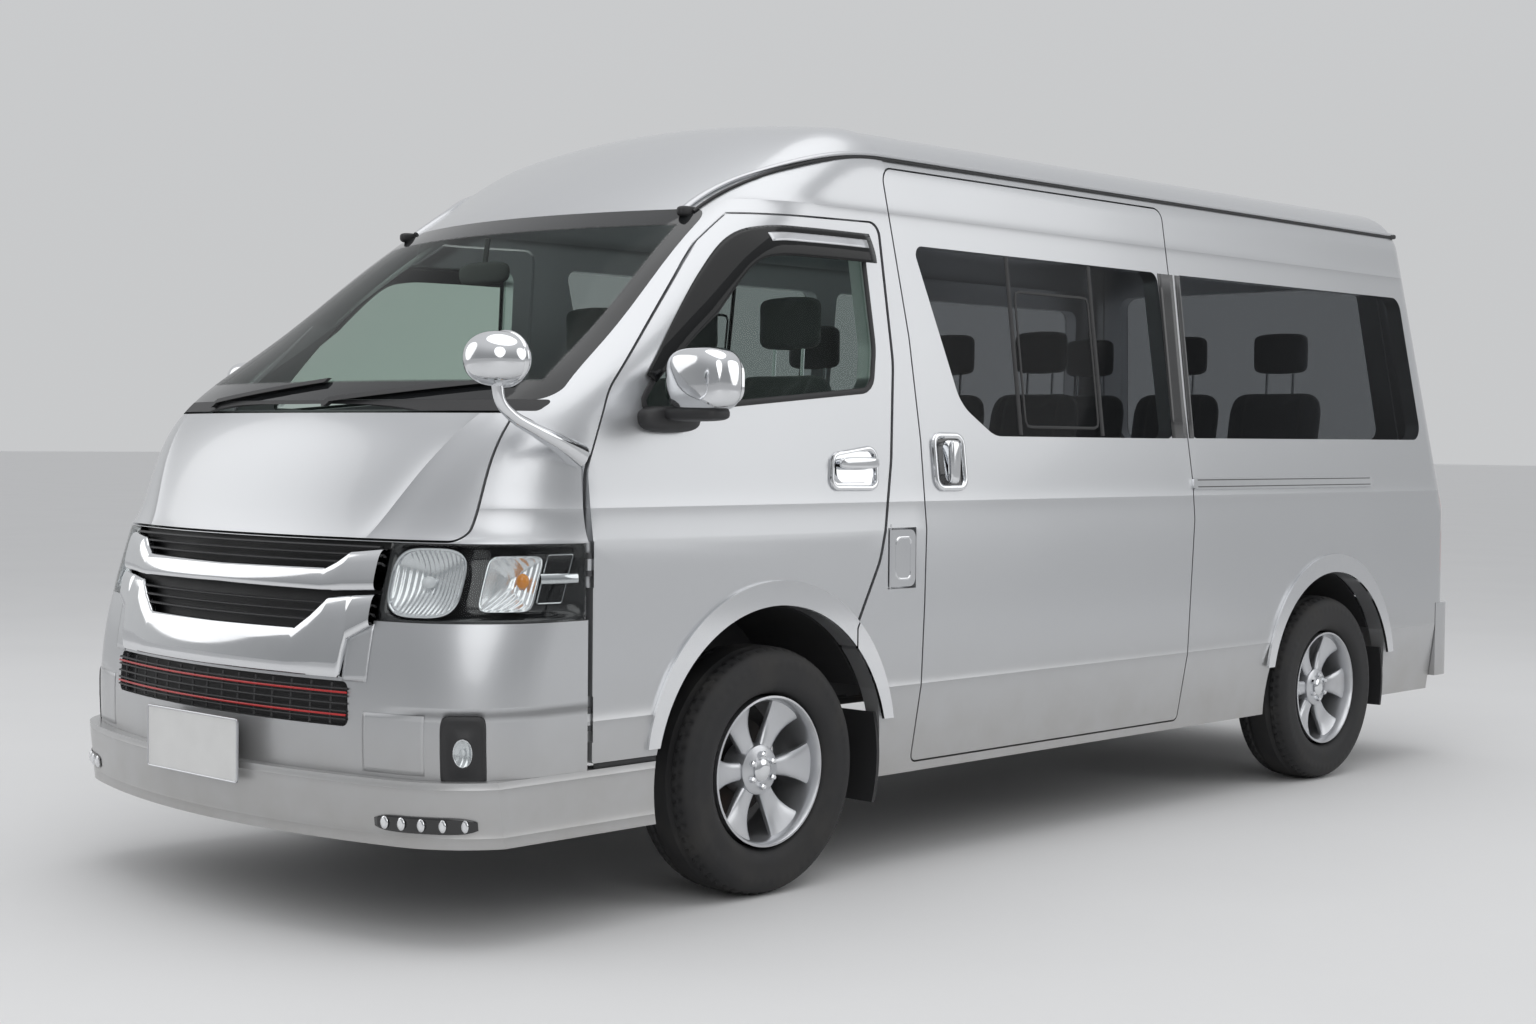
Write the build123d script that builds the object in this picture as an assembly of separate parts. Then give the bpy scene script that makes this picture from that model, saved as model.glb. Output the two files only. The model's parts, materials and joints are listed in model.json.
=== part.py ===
from build123d import *
import math
import os

# A high-roof passenger van, in millimetres. It stands on z = 0 and faces -Y, its left side is +X,
# and y = 0 is half way along it. Stations marked "from the axle" count from the front axle.

# Overall sizes
FRONT_OVERHANG = 1270.0
WHEELBASE = 3110.0
REAR_OVERHANG = 1040.0
HALF_WIDTH = 940.0
ROOF_Z = 2285.0
DRIP_Z = 2145.0
SHOULDER_Z = 1020.0
SILL_Z = 285.0
SILL_TAPER = 35.0
SILL_TAPER_Z = 550.0
FLOOR_Z = 600.0
SIDE_LEAN = 0.1244

# Walls and fits
WALL = 60.0
GLASS = 6.0
SEAT = 0.3
GAP = 6.0
DOOR_SWING_ROOM = 6.0
HINGE_DEPTH = 15.0
HINGE_PIN = 5.0
HINGE_BARREL = 10.0
HINGE_RELIEF = 20.0
HINGE_ROOM = 16.0
HINGE_LENGTH = 60.0
PIN_PLAY = 0.3

# Wheels
TRACK_FRONT = 1655.0
TRACK_REAR = 1650.0
TYRE_RADIUS = 352.0
TYRE_WIDTH = 215.0
RIM_RADIUS = 220.0
SPOKES = 6
KINGPIN_INSET = 107.0
ARCH_FRONT = 470.0
ARCH_REAR = 448.0
ARCH_TRIM = 70.0
HOUSING_SKIN = 6.0
HOUSING_INNER_X = 500.0

# Front of the van
LIP_REACH = 35.0
LIP_TOP_Z = 430.0
LIP_BOTTOM_Z = 262.0
BUMPER_TOP_Z = 818.0
LAMP_TOP_Z = 1016.0
GRILLE_HALF = 606.0
BONNET_FRONT_Z = 1024.0
BONNET_REAR_Z = 1348.0
BONNET_HALF = 790.0
SCREEN_BASE_Z = 1384.0
SCREEN_TOP_Z = 1956.0
DOOR_FRONT = -690.0
DOOR_BOTTOM_Z = 446.0

# Rear of the van
BUMPER_REAR_TOP_Z = 640.0
BUMPER_REAR_LOW_Z = 340.0
BUMPER_REAR_REACH = 50.0
BUMPER_SPLIT = 846.0
REAR_CORNER = 130.0
REAR_TOP_SETBACK = 210.0
TAILGATE_TOP_Z = 2110.0
TAILGATE_HALF = 770.0
LAMP_REAR_LOW_Z = 771.0
LAMP_REAR_TOP_Z = 1251.0
LAMP_REAR_HALF = 792.0

# Inside and below
FLOOR_THICK = 40.0
RAIL_X = 455.0
RAIL_WIDTH = 70.0
RAIL_DEPTH = 90.0
SPRING_X = 580.0
SPRING_WIDTH = 70.0
BULKHEAD_Y = -722.0
BULKHEAD_THICK = 26.0
SEAT_DECK_Z = 860.0
STEER_X = -430.0
COLUMN_TILT = 40.0
COLUMN_SHAFT = 12.0
SPINDLE = 30.0
KINGPIN = 12.0
BRAKE_RADIUS = 140.0

# Worked out from the sizes above
LENGTH = FRONT_OVERHANG + WHEELBASE + REAR_OVERHANG
AXLE_F = FRONT_OVERHANG - LENGTH / 2
AXLE_R = AXLE_F + WHEELBASE
TAIL_Y = LENGTH / 2 - BUMPER_REAR_REACH
NOSE = LIP_REACH - FRONT_OVERHANG
CAB_END = AXLE_F + 600.0
FAN_Y = AXLE_F + 900.0
FAN_START = 200.0
ENVELOPE_LOW_Z = 200.0
FAR = 4000.0

# Hinges of the tailgate, bonnet and doors
GATE_HINGE_X = 450.0
GATE_RELIEF = 24.0
BONNET_HINGE_X = 120.0
BONNET_SKIN = 30.0
BONNET_DEPTH = 28.0
BONNET_SWEEP = 38.0
BONNET_NOTCH = 16.0
BONNET_ARM = 90.0
DOOR_HINGES_Z = (560.0, 960.0)
POST_HALF = HALF_WIDTH - 28.0
POST_IN = 640.0
COWL_SKIN = 8.0

# Fuel flap
FLAP_Y = AXLE_F + 545.0
FLAP_Z = 937.0
FLAP_HALF_Y = 55.0
FLAP_HALF_Z = 85.0
FLAP_THICK = 12.0
FLAP_PROUD = 3.0
FLAP_AXIS_X = HALF_WIDTH + FLAP_PROUD - FLAP_THICK / 2
FLAP_AXIS_Y = FLAP_Y - FLAP_HALF_Y
FLAP_PIN = 2.5

# Lamps and grille; heights of the black slats, and the low and high edge of each bright bar
FOG_X = 700.0
FOG_Z = 512.0
FOG_RADIUS = 46.0
FOG_RECESS = 30.0
LAMP_SEAM = 4.0
LOWER_GRILLE_HALF = 560.0
GRILLE_LOW_Z = 672.0
GRILLE_DEPTH = 26.0
CHROME_PROUD = 12.0
BAR_HALF = GRILLE_HALF - 2.0
SLAT = 9.0
SLATS_Z = (800.0, 822.0, 844.0, 946.0, 966.0, 986.0)
BARS_Z = ((GRILLE_LOW_Z + SEAT, 780.0), (866.0, 928.0))

# Mirrors, handles and trim
DOOR_GLASS_INSET = 14.0
MIRROR_X = 1052.0
MIRROR_Y = AXLE_F - 408.0
MIRROR_Z = 1441.0
MIRROR_WIDE = 190.0
MIRROR_DEEP = 110.0
MIRROR_TALL = 160.0
HANDLE_Y = AXLE_F + 337.0
HANDLE_Z = 1209.0
TRIM_PROUD = 10.0
RAIL_COVER_Z = 1146.0
RAIL_COVER_TALL = 40.0
FLAP_SHEET = 12.0
WIPER_LIFT = 5.0
WIPER_THICK = 10.0
CORNER_FOOT = (905.0, AXLE_F - 737.0, 1255.0)
CORNER_KNEE = (948.0, AXLE_F - 950.0, 1330.0)
CORNER_HEAD = (952.0, AXLE_F - 1020.0, 1478.0)
STALK = 9.0
HEAD_RADIUS = 72.0

# Floor, engine and what hangs below
DOOR_CLEAR = 12.0
ENGINE_HALF = 260.0
ENGINE_ROOM = 20.0
DECK_SKIN = 12.0
ENGINE_FRONT = AXLE_F - 60.0
ENGINE_BACK = AXLE_F + 500.0
HANGER_Y = (AXLE_R - 640.0, AXLE_R + 640.0)
JACK_Y = AXLE_F + 840.0
JACK_PAD = 60.0
JACK_DROP = 8.0
GEARBOX_Z = 420.0
PIPE_X = -330.0
PIPE_Z = 380.0
SPARE_X = 60.0
SPARE_Y = AXLE_R + 530.0

# Axles and hubs
HUB_RADIUS = 74.0
HUB_IN = -30.0
FACE_OUT = 62.0
UPRIGHT = 34.0
UPRIGHT_HALF_Z = 80.0
ARM_EYE = 24.0
HUB_CLEAR = 12.0
SPINDLE_REACH = 60.0
ARM_ROOT_X = 400.0
AXLE_TUBE = 45.0
DIFF = 130.0
LEAF = 36.0

# Steering wheel and seats
RIM_RING = 185.0
RIM_TUBE = 14.0
HEAD_REST_WIDE = 250.0

# Side view of the dashboard: place from the axle, height, corner radius
DASH = [
    (-900.0, 1352.0, 8.0),
    (-690.0, 1362.0, 40.0),
    (-520.0, 1305.0, 60.0),
    (-400.0, 1215.0, 50.0),
    (-420.0, 1020.0, 60.0),
    (-560.0, 860.0, 40.0),
    (BULKHEAD_Y + BULKHEAD_THICK + SEAT, 840.0, 5.0),
    (BULKHEAD_Y + BULKHEAD_THICK + SEAT, 1334.0, 5.0),
    (-900.0, 1334.0, 5.0),
]

# Plan of the dashboard: half width, place from the axle
DASH_PLAN = [(400.0, -900.0), (640.0, -820.0), (790.0, -690.0), (800.0, -300.0)]

# Side view of a seat: place from its front, height, corner radius
SEAT_PROFILE = [
    (0.0, 0.0, 20.0),
    (-10.0, 110.0, 40.0),
    (425.0, 95.0, 30.0),
    (545.0, 660.0, 35.0),
    (640.0, 650.0, 35.0),
    (520.0, 0.0, 30.0),
]

# Seat rows: front of the cushion from the axle, height below the cushion, each seat's left and right edge
SEAT_ROWS = [
    ("front", -60.0, SEAT_DECK_Z, ((-690.0, -230.0), (-190.0, 230.0), (240.0, 690.0))),
    ("rear", 1080.0, 850.0, ((-700.0, -250.0), (-240.0, 210.0))),
    ("rear", 1900.0, 850.0, ((-700.0, -250.0), (-240.0, 210.0))),
    ("rear", 2880.0, 870.0, ((-700.0, -250.0), (-225.0, 225.0), (250.0, 700.0))),
]

# Front face below the shoulder: height, setback behind the nose, bow radius, corner radius
LEVELS = [
    (ENVELOPE_LOW_Z, 20.0, 2600.0, 300.0),
    (LIP_TOP_Z, 0.0, 2600.0, 290.0),
    (620.0, 0.0, 2600.0, 290.0),
    (840.0, 35.0, 2600.0, 340.0),
    (SHOULDER_Z, 80.0, 2600.0, 400.0),
]
# Cab above the shoulder, in planes that fan out from one line across the van:
# centre line's place from the axle, height, bow radius, corner radius
FAN = [
    (NOSE + 80.0, SHOULDER_Z, 2600.0, 400.0),
    (NOSE + 170.0, 1215.0, 2600.0, 330.0),
    (NOSE + 275.0, 1370.0, 2600.0, 230.0),
    (-565.0, 1670.0, 2600.0, 190.0),
    (-170.0, 1965.0, 2700.0, 190.0),
    (100.0, 2122.0, 3200.0, 190.0),
    (340.0, ROOF_Z - 45.0, 4200.0, 190.0),
    (600.0, ROOF_Z, 4500.0, 190.0),
    (900.0, ROOF_Z, 4500.0, 190.0),
]
# Front door outline: place from the axle, height, corner radius
DOOR = [
    (DOOR_FRONT, DOOR_BOTTOM_Z, 8.0),
    (DOOR_FRONT, 1204.0, 120.0),
    (-591.0, 1412.0, 200.0),
    (-226.0, 1771.0, 0.0),
    (-60.0, 1925.0, 110.0),
    (540.0, 1938.0, 40.0),
    (556.0, 1520.0, 300.0),
    (510.0, 1229.0, 300.0),
    (436.0, 935.0, 200.0),
    (330.0, 740.0, 0.0),
    (330.0, DOOR_BOTTOM_Z, 0.0),
]
# Front door window: place from the axle, height, corner radius
DOOR_WINDOW = [
    (-510.0, 1352.0, 25.0),
    (-245.0, 1664.0, 60.0),
    (-40.0, 1856.0, 110.0),
    (462.0, 1866.0, 45.0),
    (478.0, 1560.0, 200.0),
    (452.0, 1436.0, 55.0),
]
# Sliding door outline: place from the axle, height, corner radius
SLIDE = [
    (628.0, 318.0, 20.0),
    (652.0, 800.0, 300.0),
    (664.0, 1290.0, 0.0),
    (650.0, 1600.0, 300.0),
    (600.0, 1990.0, 0.0),
    (585.0, 2110.0, 40.0),
    (2092.0, 2110.0, 40.0),
    (2140.0, 1150.0, 300.0),
    (2080.0, 318.0, 20.0),
]
# Sliding door window: place from the axle, height, corner radius
SLIDE_WINDOW = [
    (700.0, 1884.0, 30.0),
    (872.0, 1400.0, 150.0),
    (1030.0, 1304.0, 120.0),
    (2050.0, 1304.0, 40.0),
    (2032.0, 1884.0, 40.0),
]
# Rear quarter window: place from the axle, height, corner radius
QUARTER_WINDOW = [
    (2165.0, 1306.0, 30.0),
    (3880.0, 1312.0, 60.0),
    (3800.0, 1890.0, 60.0),
    (2150.0, 1884.0, 30.0),
]


def plate(rows):
    """Flat face from rows of (across, up, corner radius)."""
    points = [(across, up) for across, up, corner in rows]
    radii = [corner for across, up, corner in rows]
    return make_face(FilletPolyline(*points, radius=radii, close=True))


def side_prism(face, x_low, x_high, from_axle=True):
    """A side-view face carried across the van from x_low to x_high."""
    shift = AXLE_F if from_axle else 0.0
    return extrude(Plane.YZ.offset(x_low) * (Pos(shift, 0) * face), amount=x_high - x_low)


def front_prism(face, y_low, y_high):
    """A front-view face carried along the van from y_low to y_high."""
    return extrude(Plane.XZ.offset(-y_high) * face, amount=y_high - y_low)


def block(x_low, x_high, y_low, y_high, z_low, z_high):
    """A box between two corners."""
    centre = Pos((x_low + x_high) / 2, (y_low + y_high) / 2, (z_low + z_high) / 2)
    return centre * Box(x_high - x_low, y_high - y_low, z_high - z_low)


def rod_x(radius, x_low, x_high, y, z):
    """A round bar along X."""
    return Pos((x_low + x_high) / 2, y, z) * Rot(0, 90, 0) * Cylinder(radius, x_high - x_low)


def rod_y(radius, y_low, y_high, x, z):
    """A round bar along Y."""
    return Pos(x, (y_low + y_high) / 2, z) * Rot(90, 0, 0) * Cylinder(radius, y_high - y_low)


def rod_z(radius, z_low, z_high, x, y):
    """A round bar along Z."""
    return Pos(x, y, (z_low + z_high) / 2) * Cylinder(radius, z_high - z_low)


def nose_points(half, lean, reach, bow, corner):
    """Where side line, corner arc and bow arc of one cab section meet, on its left half."""
    slope = math.hypot(1.0, lean)
    start = half - corner * slope
    middle = reach - bow
    a = lean * lean + 1.0
    b = -2.0 * start * lean - 2.0 * middle
    c = start * start + middle * middle - (bow - corner) ** 2
    along = (-b + math.sqrt(b * b - 4.0 * a * c)) / (2.0 * a)
    across = start - lean * along
    on_side = (across + corner / slope, along + corner * lean / slope)
    spread = math.hypot(across, along - middle)
    on_bow = (across / spread * bow, middle + (along - middle) / spread * bow)
    turn = (on_side[0] + on_bow[0] - 2 * across, on_side[1] + on_bow[1] - 2 * along)
    size = math.hypot(*turn)
    on_corner = (across + turn[0] / size * corner, along + turn[1] / size * corner)
    return on_side, on_corner, on_bow


def section(place, half, lean, start, reach, bow, corner):
    """Closed cab section: side lines, corner arcs and one bow arc, put into space by place."""
    side, arc, front = nose_points(half, lean, reach, bow, corner)
    foot = half - lean * start
    left = [place(foot, start), place(*side), place(*arc), place(*front)]
    right = [place(-foot, start), place(-side[0], side[1]), place(-arc[0], arc[1]),
             place(-front[0], front[1])]
    return Wire([
        Line(left[0], left[1]),
        ThreePointArc(left[1], left[2], left[3]),
        ThreePointArc(left[3], place(0, reach), right[3]),
        ThreePointArc(right[3], right[2], right[1]),
        Line(right[1], right[0]),
        Line(right[0], left[0]),
    ])


def fan_frame(y, z):
    """Angle and reach of a cab station, and the map from its plane into space."""
    back = FAN_Y - (AXLE_F + y)
    rise = z - SHOULDER_Z
    angle = math.atan2(rise, back)

    def place(across, along):
        return (across, FAN_Y - along * math.cos(angle), SHOULDER_Z + along * math.sin(angle))

    return angle, math.hypot(back, rise), place


def nose_form(inset):
    """The front below the shoulder, moved inwards by inset."""
    levels = []
    for z, setback, bow, corner in LEVELS:
        reach = CAB_END - (AXLE_F + NOSE + setback) - inset

        def place(across, along, z=z):
            return (across, CAB_END - along, z)

        levels.append(section(place, HALF_WIDTH - inset, 0.0, 0.0, reach, bow - inset, corner - inset))
    return Part(Solid.make_loft(levels).wrapped)


def cab_form(inset):
    """The cab above the shoulder, moved inwards by inset."""
    fans = []
    for y, z, bow, corner in FAN:
        angle, reach, place = fan_frame(y, z)
        lean = SIDE_LEAN * math.sin(angle)
        fans.append(section(place, HALF_WIDTH - inset, lean, FAN_START, reach - inset, bow - inset,
                            corner - inset))
    return Part(Solid.make_loft(fans).wrapped) - block(-FAR, FAR, CAB_END, FAR, 0.0, FAR)


def side_form(inset):
    """The long part behind the cab, moved inwards by inset, running on past the rear."""
    y, z, bow, corner = FAN[-1]

    def upright(across, along):
        return (across, CAB_END, SHOULDER_Z + along)

    reach = z - SHOULDER_Z - inset
    profile = section(upright, HALF_WIDTH - inset, SIDE_LEAN, 0.0, reach, bow - inset, corner - inset)
    return extrude(Face(profile), amount=FAR, dir=(0, 1, 0))


def low_form(inset):
    """The part behind the cab and below the shoulder, with rounded rear corners."""
    half = HALF_WIDTH - inset
    lower = block(-half, half, CAB_END, TAIL_Y - inset, ENVELOPE_LOW_Z, SHOULDER_Z)
    return fillet(lower.edges().filter_by(Axis.Z).group_by(Axis.Y)[-1], REAR_CORNER - inset)


def lean_slab(low, high):
    """The left side's leaning wall, from low to high outside its skin, over the whole length."""
    top = FAR - SHOULDER_Z
    rows = [(HALF_WIDTH + low, SHOULDER_Z - 200.0), (HALF_WIDTH + low, SHOULDER_Z),
            (HALF_WIDTH + low - SIDE_LEAN * top, FAR), (HALF_WIDTH + high - SIDE_LEAN * top, FAR),
            (HALF_WIDTH + high, SHOULDER_Z), (HALF_WIDTH + high, SHOULDER_Z - 200.0)]
    return front_prism(make_face(Polyline(*rows, close=True)), -FAR, FAR)


def tail_form(inset):
    """The long part behind the cab, moved inwards by inset, with its leaning, rounded rear."""
    tail = TAIL_Y - inset
    upper = side_form(inset)
    lean_back = Polyline((tail, 0), (tail, SHOULDER_Z), (tail - REAR_TOP_SETBACK, ROOF_Z),
                         (tail - 1.2 * REAR_TOP_SETBACK, FAR), (2 * FAR, FAR), (2 * FAR, 0), close=True)
    upper -= side_prism(make_face(lean_back), -FAR, FAR, from_axle=False)
    rim = upper.faces().sort_by(Axis.Y)[-1].edges().filter_by(lambda e: e.center().Z > SHOULDER_Z + 1.0)
    upper = fillet(rim, REAR_CORNER - inset)
    return upper + low_form(inset)


def mirrored(piece):
    """The same piece on the other side of the van."""
    return mirror(piece, about=Plane.YZ)


def both(rows):
    """The left half of an outline, from rows of (half width, height, corner), closed on the right."""
    return plate(rows + [(-half, z, corner) for half, z, corner in reversed(rows)])


LEFT = block(0.0, FAR, -FAR, FAR, 0.0, FAR)
NOSE_OUT = nose_form(0.0)
NOSE_IN = nose_form(WALL)
CAB_OUT = cab_form(0.0)
CAB_IN = cab_form(WALL)
TAIL_OUT = tail_form(0.0)
NOSE_SHELL = NOSE_OUT - NOSE_IN
CAB_SHELL = CAB_OUT - CAB_IN
TAIL_SHELL = TAIL_OUT - tail_form(WALL)
HALF_SHELL = (NOSE_SHELL & LEFT) + (CAB_SHELL & LEFT) + (TAIL_SHELL & LEFT)

parts = {}

# Wheel arches, cut through everything beside the wheels
arches = rod_x(ARCH_FRONT, HOUSING_INNER_X, FAR, AXLE_F, TYRE_RADIUS)
arches += rod_x(ARCH_REAR, HOUSING_INNER_X, FAR, AXLE_R, TYRE_RADIUS)

# Outlines in front view: half width, height, corner radius
screen_face = both([(848.0, SCREEN_BASE_Z, 30.0), (700.0, SCREEN_TOP_Z - 12.0, 60.0)])
bonnet_face = both([(BONNET_HALF, BONNET_FRONT_Z, 30.0), (BONNET_HALF, BONNET_REAR_Z, 30.0)])
cowl_face = both([(834.0, BONNET_REAR_Z + GAP, 10.0), (846.0, SCREEN_BASE_Z - SEAT, 10.0)])
gate_low_z = BUMPER_REAR_TOP_Z + GAP
gate_face = both([(TAILGATE_HALF, gate_low_z, 50.0), (TAILGATE_HALF, SHOULDER_Z, 0.0),
                  (TAILGATE_HALF - 110.0, TAILGATE_TOP_Z, 60.0)])
gate_window_face = both([(650.0, 1300.0, 60.0), (590.0, 1950.0, 60.0)])

sill_face = make_face(Polyline((HALF_WIDTH, SILL_TAPER_Z), (HALF_WIDTH - SILL_TAPER, SILL_Z), (FAR, SILL_Z),
                               (FAR, SILL_TAPER_Z), close=True))

# Outlines in side view
door_face = plate(DOOR)
slide_face = plate(SLIDE)
roof_line = [Line((-700, SCREEN_TOP_Z - 16), (-72, SCREEN_TOP_Z - 16)),
             ThreePointArc((-72, SCREEN_TOP_Z - 16), (230, DRIP_Z - 58), (580, DRIP_Z)),
             Line((580, DRIP_Z), (FAR + 2000, DRIP_Z)),
             Line((FAR + 2000, DRIP_Z), (FAR + 2000, FAR)),
             Line((FAR + 2000, FAR), (-700, FAR)),
             Line((-700, FAR), (-700, SCREEN_TOP_Z - 16))]
roof_face = make_face(roof_line)

door_wall = lean_slab(-WALL - 16.0, FAR) + block(HALF_WIDTH - WALL - 16.0, FAR, -FAR, FAR, 0.0, SHOULDER_Z)
door_room = lean_slab(-WALL - 22.0, FAR) + block(HALF_WIDTH - WALL - 22.0, FAR, -FAR, FAR, 0.0, SHOULDER_Z)
door_hole_face = offset(door_face, GAP)
door_hole_face += Pos(DOOR_SWING_ROOM, 0) * door_hole_face
door_hole = side_prism(door_hole_face, 0.0, FAR) & door_room
front_zone = (-FAR, AXLE_F)
rear_zone = (TAIL_Y - REAR_TOP_SETBACK - WALL - 60.0, FAR)
door_front_y = AXLE_F + DOOR_FRONT - GAP
bumper_split = AXLE_R + BUMPER_SPLIT

# Hinge axes
door_axis = (HALF_WIDTH - HINGE_DEPTH, AXLE_F + DOOR_FRONT - GAP / 2)
gate_axis_z = TAILGATE_TOP_Z + GAP / 2
gate_slope = REAR_TOP_SETBACK / (ROOF_Z - SHOULDER_Z)
gate_axis = (TAIL_Y - gate_slope * (gate_axis_z - SHOULDER_Z) - HINGE_DEPTH, gate_axis_z)
door_relief = rod_z(HINGE_RELIEF, LIP_TOP_Z, 1260.0, *door_axis)
gate_relief = rod_x(GATE_RELIEF, -TAILGATE_HALF, TAILGATE_HALF, *gate_axis)

# Roof
above_drip = side_prism(Pos(0, SEAT) * roof_face, -FAR, FAR)
cab_roof = (CAB_SHELL & above_drip) - front_prism(offset(screen_face, SEAT), *front_zone)
long_roof = (TAIL_SHELL & above_drip) - block(-FAR, FAR, -FAR, CAB_END + SEAT, 0.0, FAR)
parts["roof"] = Compound(cab_roof.solids() + long_roof.solids())


def gate_ear(x):
    """Hinge pin and its two ears below the rear header, for the tailgate."""
    y, z = gate_axis
    ear = rod_x(HINGE_PIN, x - HINGE_LENGTH / 2, x + HINGE_LENGTH / 2, y, z)
    for end in (-1, 1):
        inner = x + end * HINGE_LENGTH / 4 + end * PIN_PLAY
        outer = x + end * HINGE_LENGTH / 2
        low, high = min(inner, outer), max(inner, outer)
        ear += rod_x(HINGE_BARREL, low, high, y, z)
        ear += block(low, high, y - HINGE_BARREL, y, z, DRIP_Z - SEAT)
    return ear


def body_side(sliding):
    """One side of the body, left-handed: pillars, quarter panel, sill, corner panel and half the header."""
    cuts = [
        side_prism(roof_face, -FAR, FAR),
        block(0.0, FAR, -FAR, FAR, 0.0, SILL_Z),
        block(0.0, FAR, -FAR, door_front_y + GAP, 0.0, LAMP_TOP_Z + SEAT),
        block(0.0, FAR, -FAR, AXLE_F, 0.0, DOOR_BOTTOM_Z),
        door_hole,
        front_prism(offset(screen_face, SEAT), *front_zone),
        front_prism(offset(bonnet_face, GAP), *front_zone),
        front_prism(offset(cowl_face, SEAT), *front_zone),
        front_prism(offset(gate_face, GAP), *rear_zone),
        block(0.0, FAR, bumper_split, FAR, 0.0, BUMPER_REAR_TOP_Z + SEAT),
        rear_lamp_block(SEAT),
        arches,
        door_relief,
        gate_relief,
        front_prism(sill_face, AXLE_F, FAR),
        side_prism(plate(QUARTER_WINDOW), 0.0, FAR),
    ]
    if sliding:
        cuts.append(side_prism(offset(slide_face, GAP), 0.0, FAR))
    else:
        cuts.append(side_prism(plate(SLIDE_WINDOW), 0.0, FAR))
    side = HALF_SHELL - cuts
    side += gate_ear(GATE_HINGE_X)
    return side


def rear_lamp_block(clear):
    """The room that one tail lamp takes at the rear corner."""
    return block(LAMP_REAR_HALF - clear, FAR, TAIL_Y - 100.0 - clear, FAR,
                 LAMP_REAR_LOW_Z - clear, LAMP_REAR_TOP_Z + clear)


left_side = body_side(True)
right_side = mirrored(body_side(False))

# Fuel flap in the left side, hinged at its front edge
recess = block(HALF_WIDTH - 30.0, FAR, FLAP_AXIS_Y - 14.0, FLAP_Y + FLAP_HALF_Y + GAP,
               FLAP_Z - FLAP_HALF_Z - GAP, FLAP_Z + FLAP_HALF_Z + GAP)
left_side -= recess
left_side -= rod_z(FLAP_PIN + PIN_PLAY, FLAP_Z - FLAP_HALF_Z - 16.0, FLAP_Z + FLAP_HALF_Z + 16.0,
                   FLAP_AXIS_X, FLAP_AXIS_Y)
flap = block(HALF_WIDTH + FLAP_PROUD - FLAP_THICK, HALF_WIDTH + FLAP_PROUD, FLAP_AXIS_Y, FLAP_Y + FLAP_HALF_Y,
             FLAP_Z - FLAP_HALF_Z, FLAP_Z + FLAP_HALF_Z)
flap = fillet(flap.edges().filter_by(Axis.X).group_by(Axis.Y)[-1], 25.0)
flap += rod_z(FLAP_THICK / 2, FLAP_Z - FLAP_HALF_Z, FLAP_Z + FLAP_HALF_Z, FLAP_AXIS_X, FLAP_AXIS_Y)
flap += rod_z(FLAP_PIN, FLAP_Z - FLAP_HALF_Z - 15.0, FLAP_Z + FLAP_HALF_Z + 15.0, FLAP_AXIS_X, FLAP_AXIS_Y)
parts["fuel_flap"] = flap
parts["body_side_left"] = left_side
parts["body_side_right"] = right_side

# Windscreen, cowl and bonnet
parts["windscreen"] = (CAB_OUT - cab_form(GLASS)) & front_prism(screen_face, *front_zone)
# Bonnet's hinge line, behind the middle of its bowed rear edge
skin_run = (FAN[1][0] - FAN[2][0], FAN[1][1] - FAN[2][1])
skin_size = math.hypot(*skin_run)
skin_dir = (skin_run[0] / skin_size, skin_run[1] / skin_size)
skin_in = (-skin_dir[1], skin_dir[0])
hinge_z = BONNET_REAR_Z + GAP / 2
hinge_y = AXLE_F + FAN[2][0] + (hinge_z - FAN[2][1]) * skin_run[0] / skin_run[1]
bonnet_axis = (hinge_y + BONNET_DEPTH * skin_in[0], hinge_z + BONNET_DEPTH * skin_in[1])


def bonnet_plate(along_low, along_high, in_low, in_high, x_low, x_high):
    """A flat bar by the bonnet's hinge line, by its distances along and into the skin."""
    corners = [(along_low, in_low), (along_high, in_low), (along_high, in_high), (along_low, in_high)]
    rows = [(bonnet_axis[0] + along * skin_dir[0] + deep * skin_in[0],
             bonnet_axis[1] + along * skin_dir[1] + deep * skin_in[1]) for along, deep in corners]
    return side_prism(make_face(Polyline(*rows, close=True)), x_low, x_high, from_axle=False)


bonnet_sweep = rod_x(BONNET_SWEEP, -FAR, FAR, *bonnet_axis)
parts["cowl"] = ((CAB_OUT - cab_form(COWL_SKIN)) & front_prism(cowl_face, *front_zone)) - bonnet_sweep
bonnet = (CAB_OUT - cab_form(BONNET_SKIN)) & front_prism(bonnet_face, *front_zone)
for x in (-BONNET_HINGE_X, BONNET_HINGE_X):
    low, high = x - HINGE_LENGTH / 4, x + HINGE_LENGTH / 4
    bonnet -= rod_x(BONNET_NOTCH, x - HINGE_LENGTH, x + HINGE_LENGTH, *bonnet_axis)
    barrel = rod_x(HINGE_BARREL, low, high, *bonnet_axis)
    barrel += bonnet_plate(0.0, 2 * BONNET_NOTCH, -4.0, 6.0, low, high)
    bonnet += barrel - rod_x(HINGE_PIN + PIN_PLAY, low, high, *bonnet_axis)
parts["bonnet"] = bonnet

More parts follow.
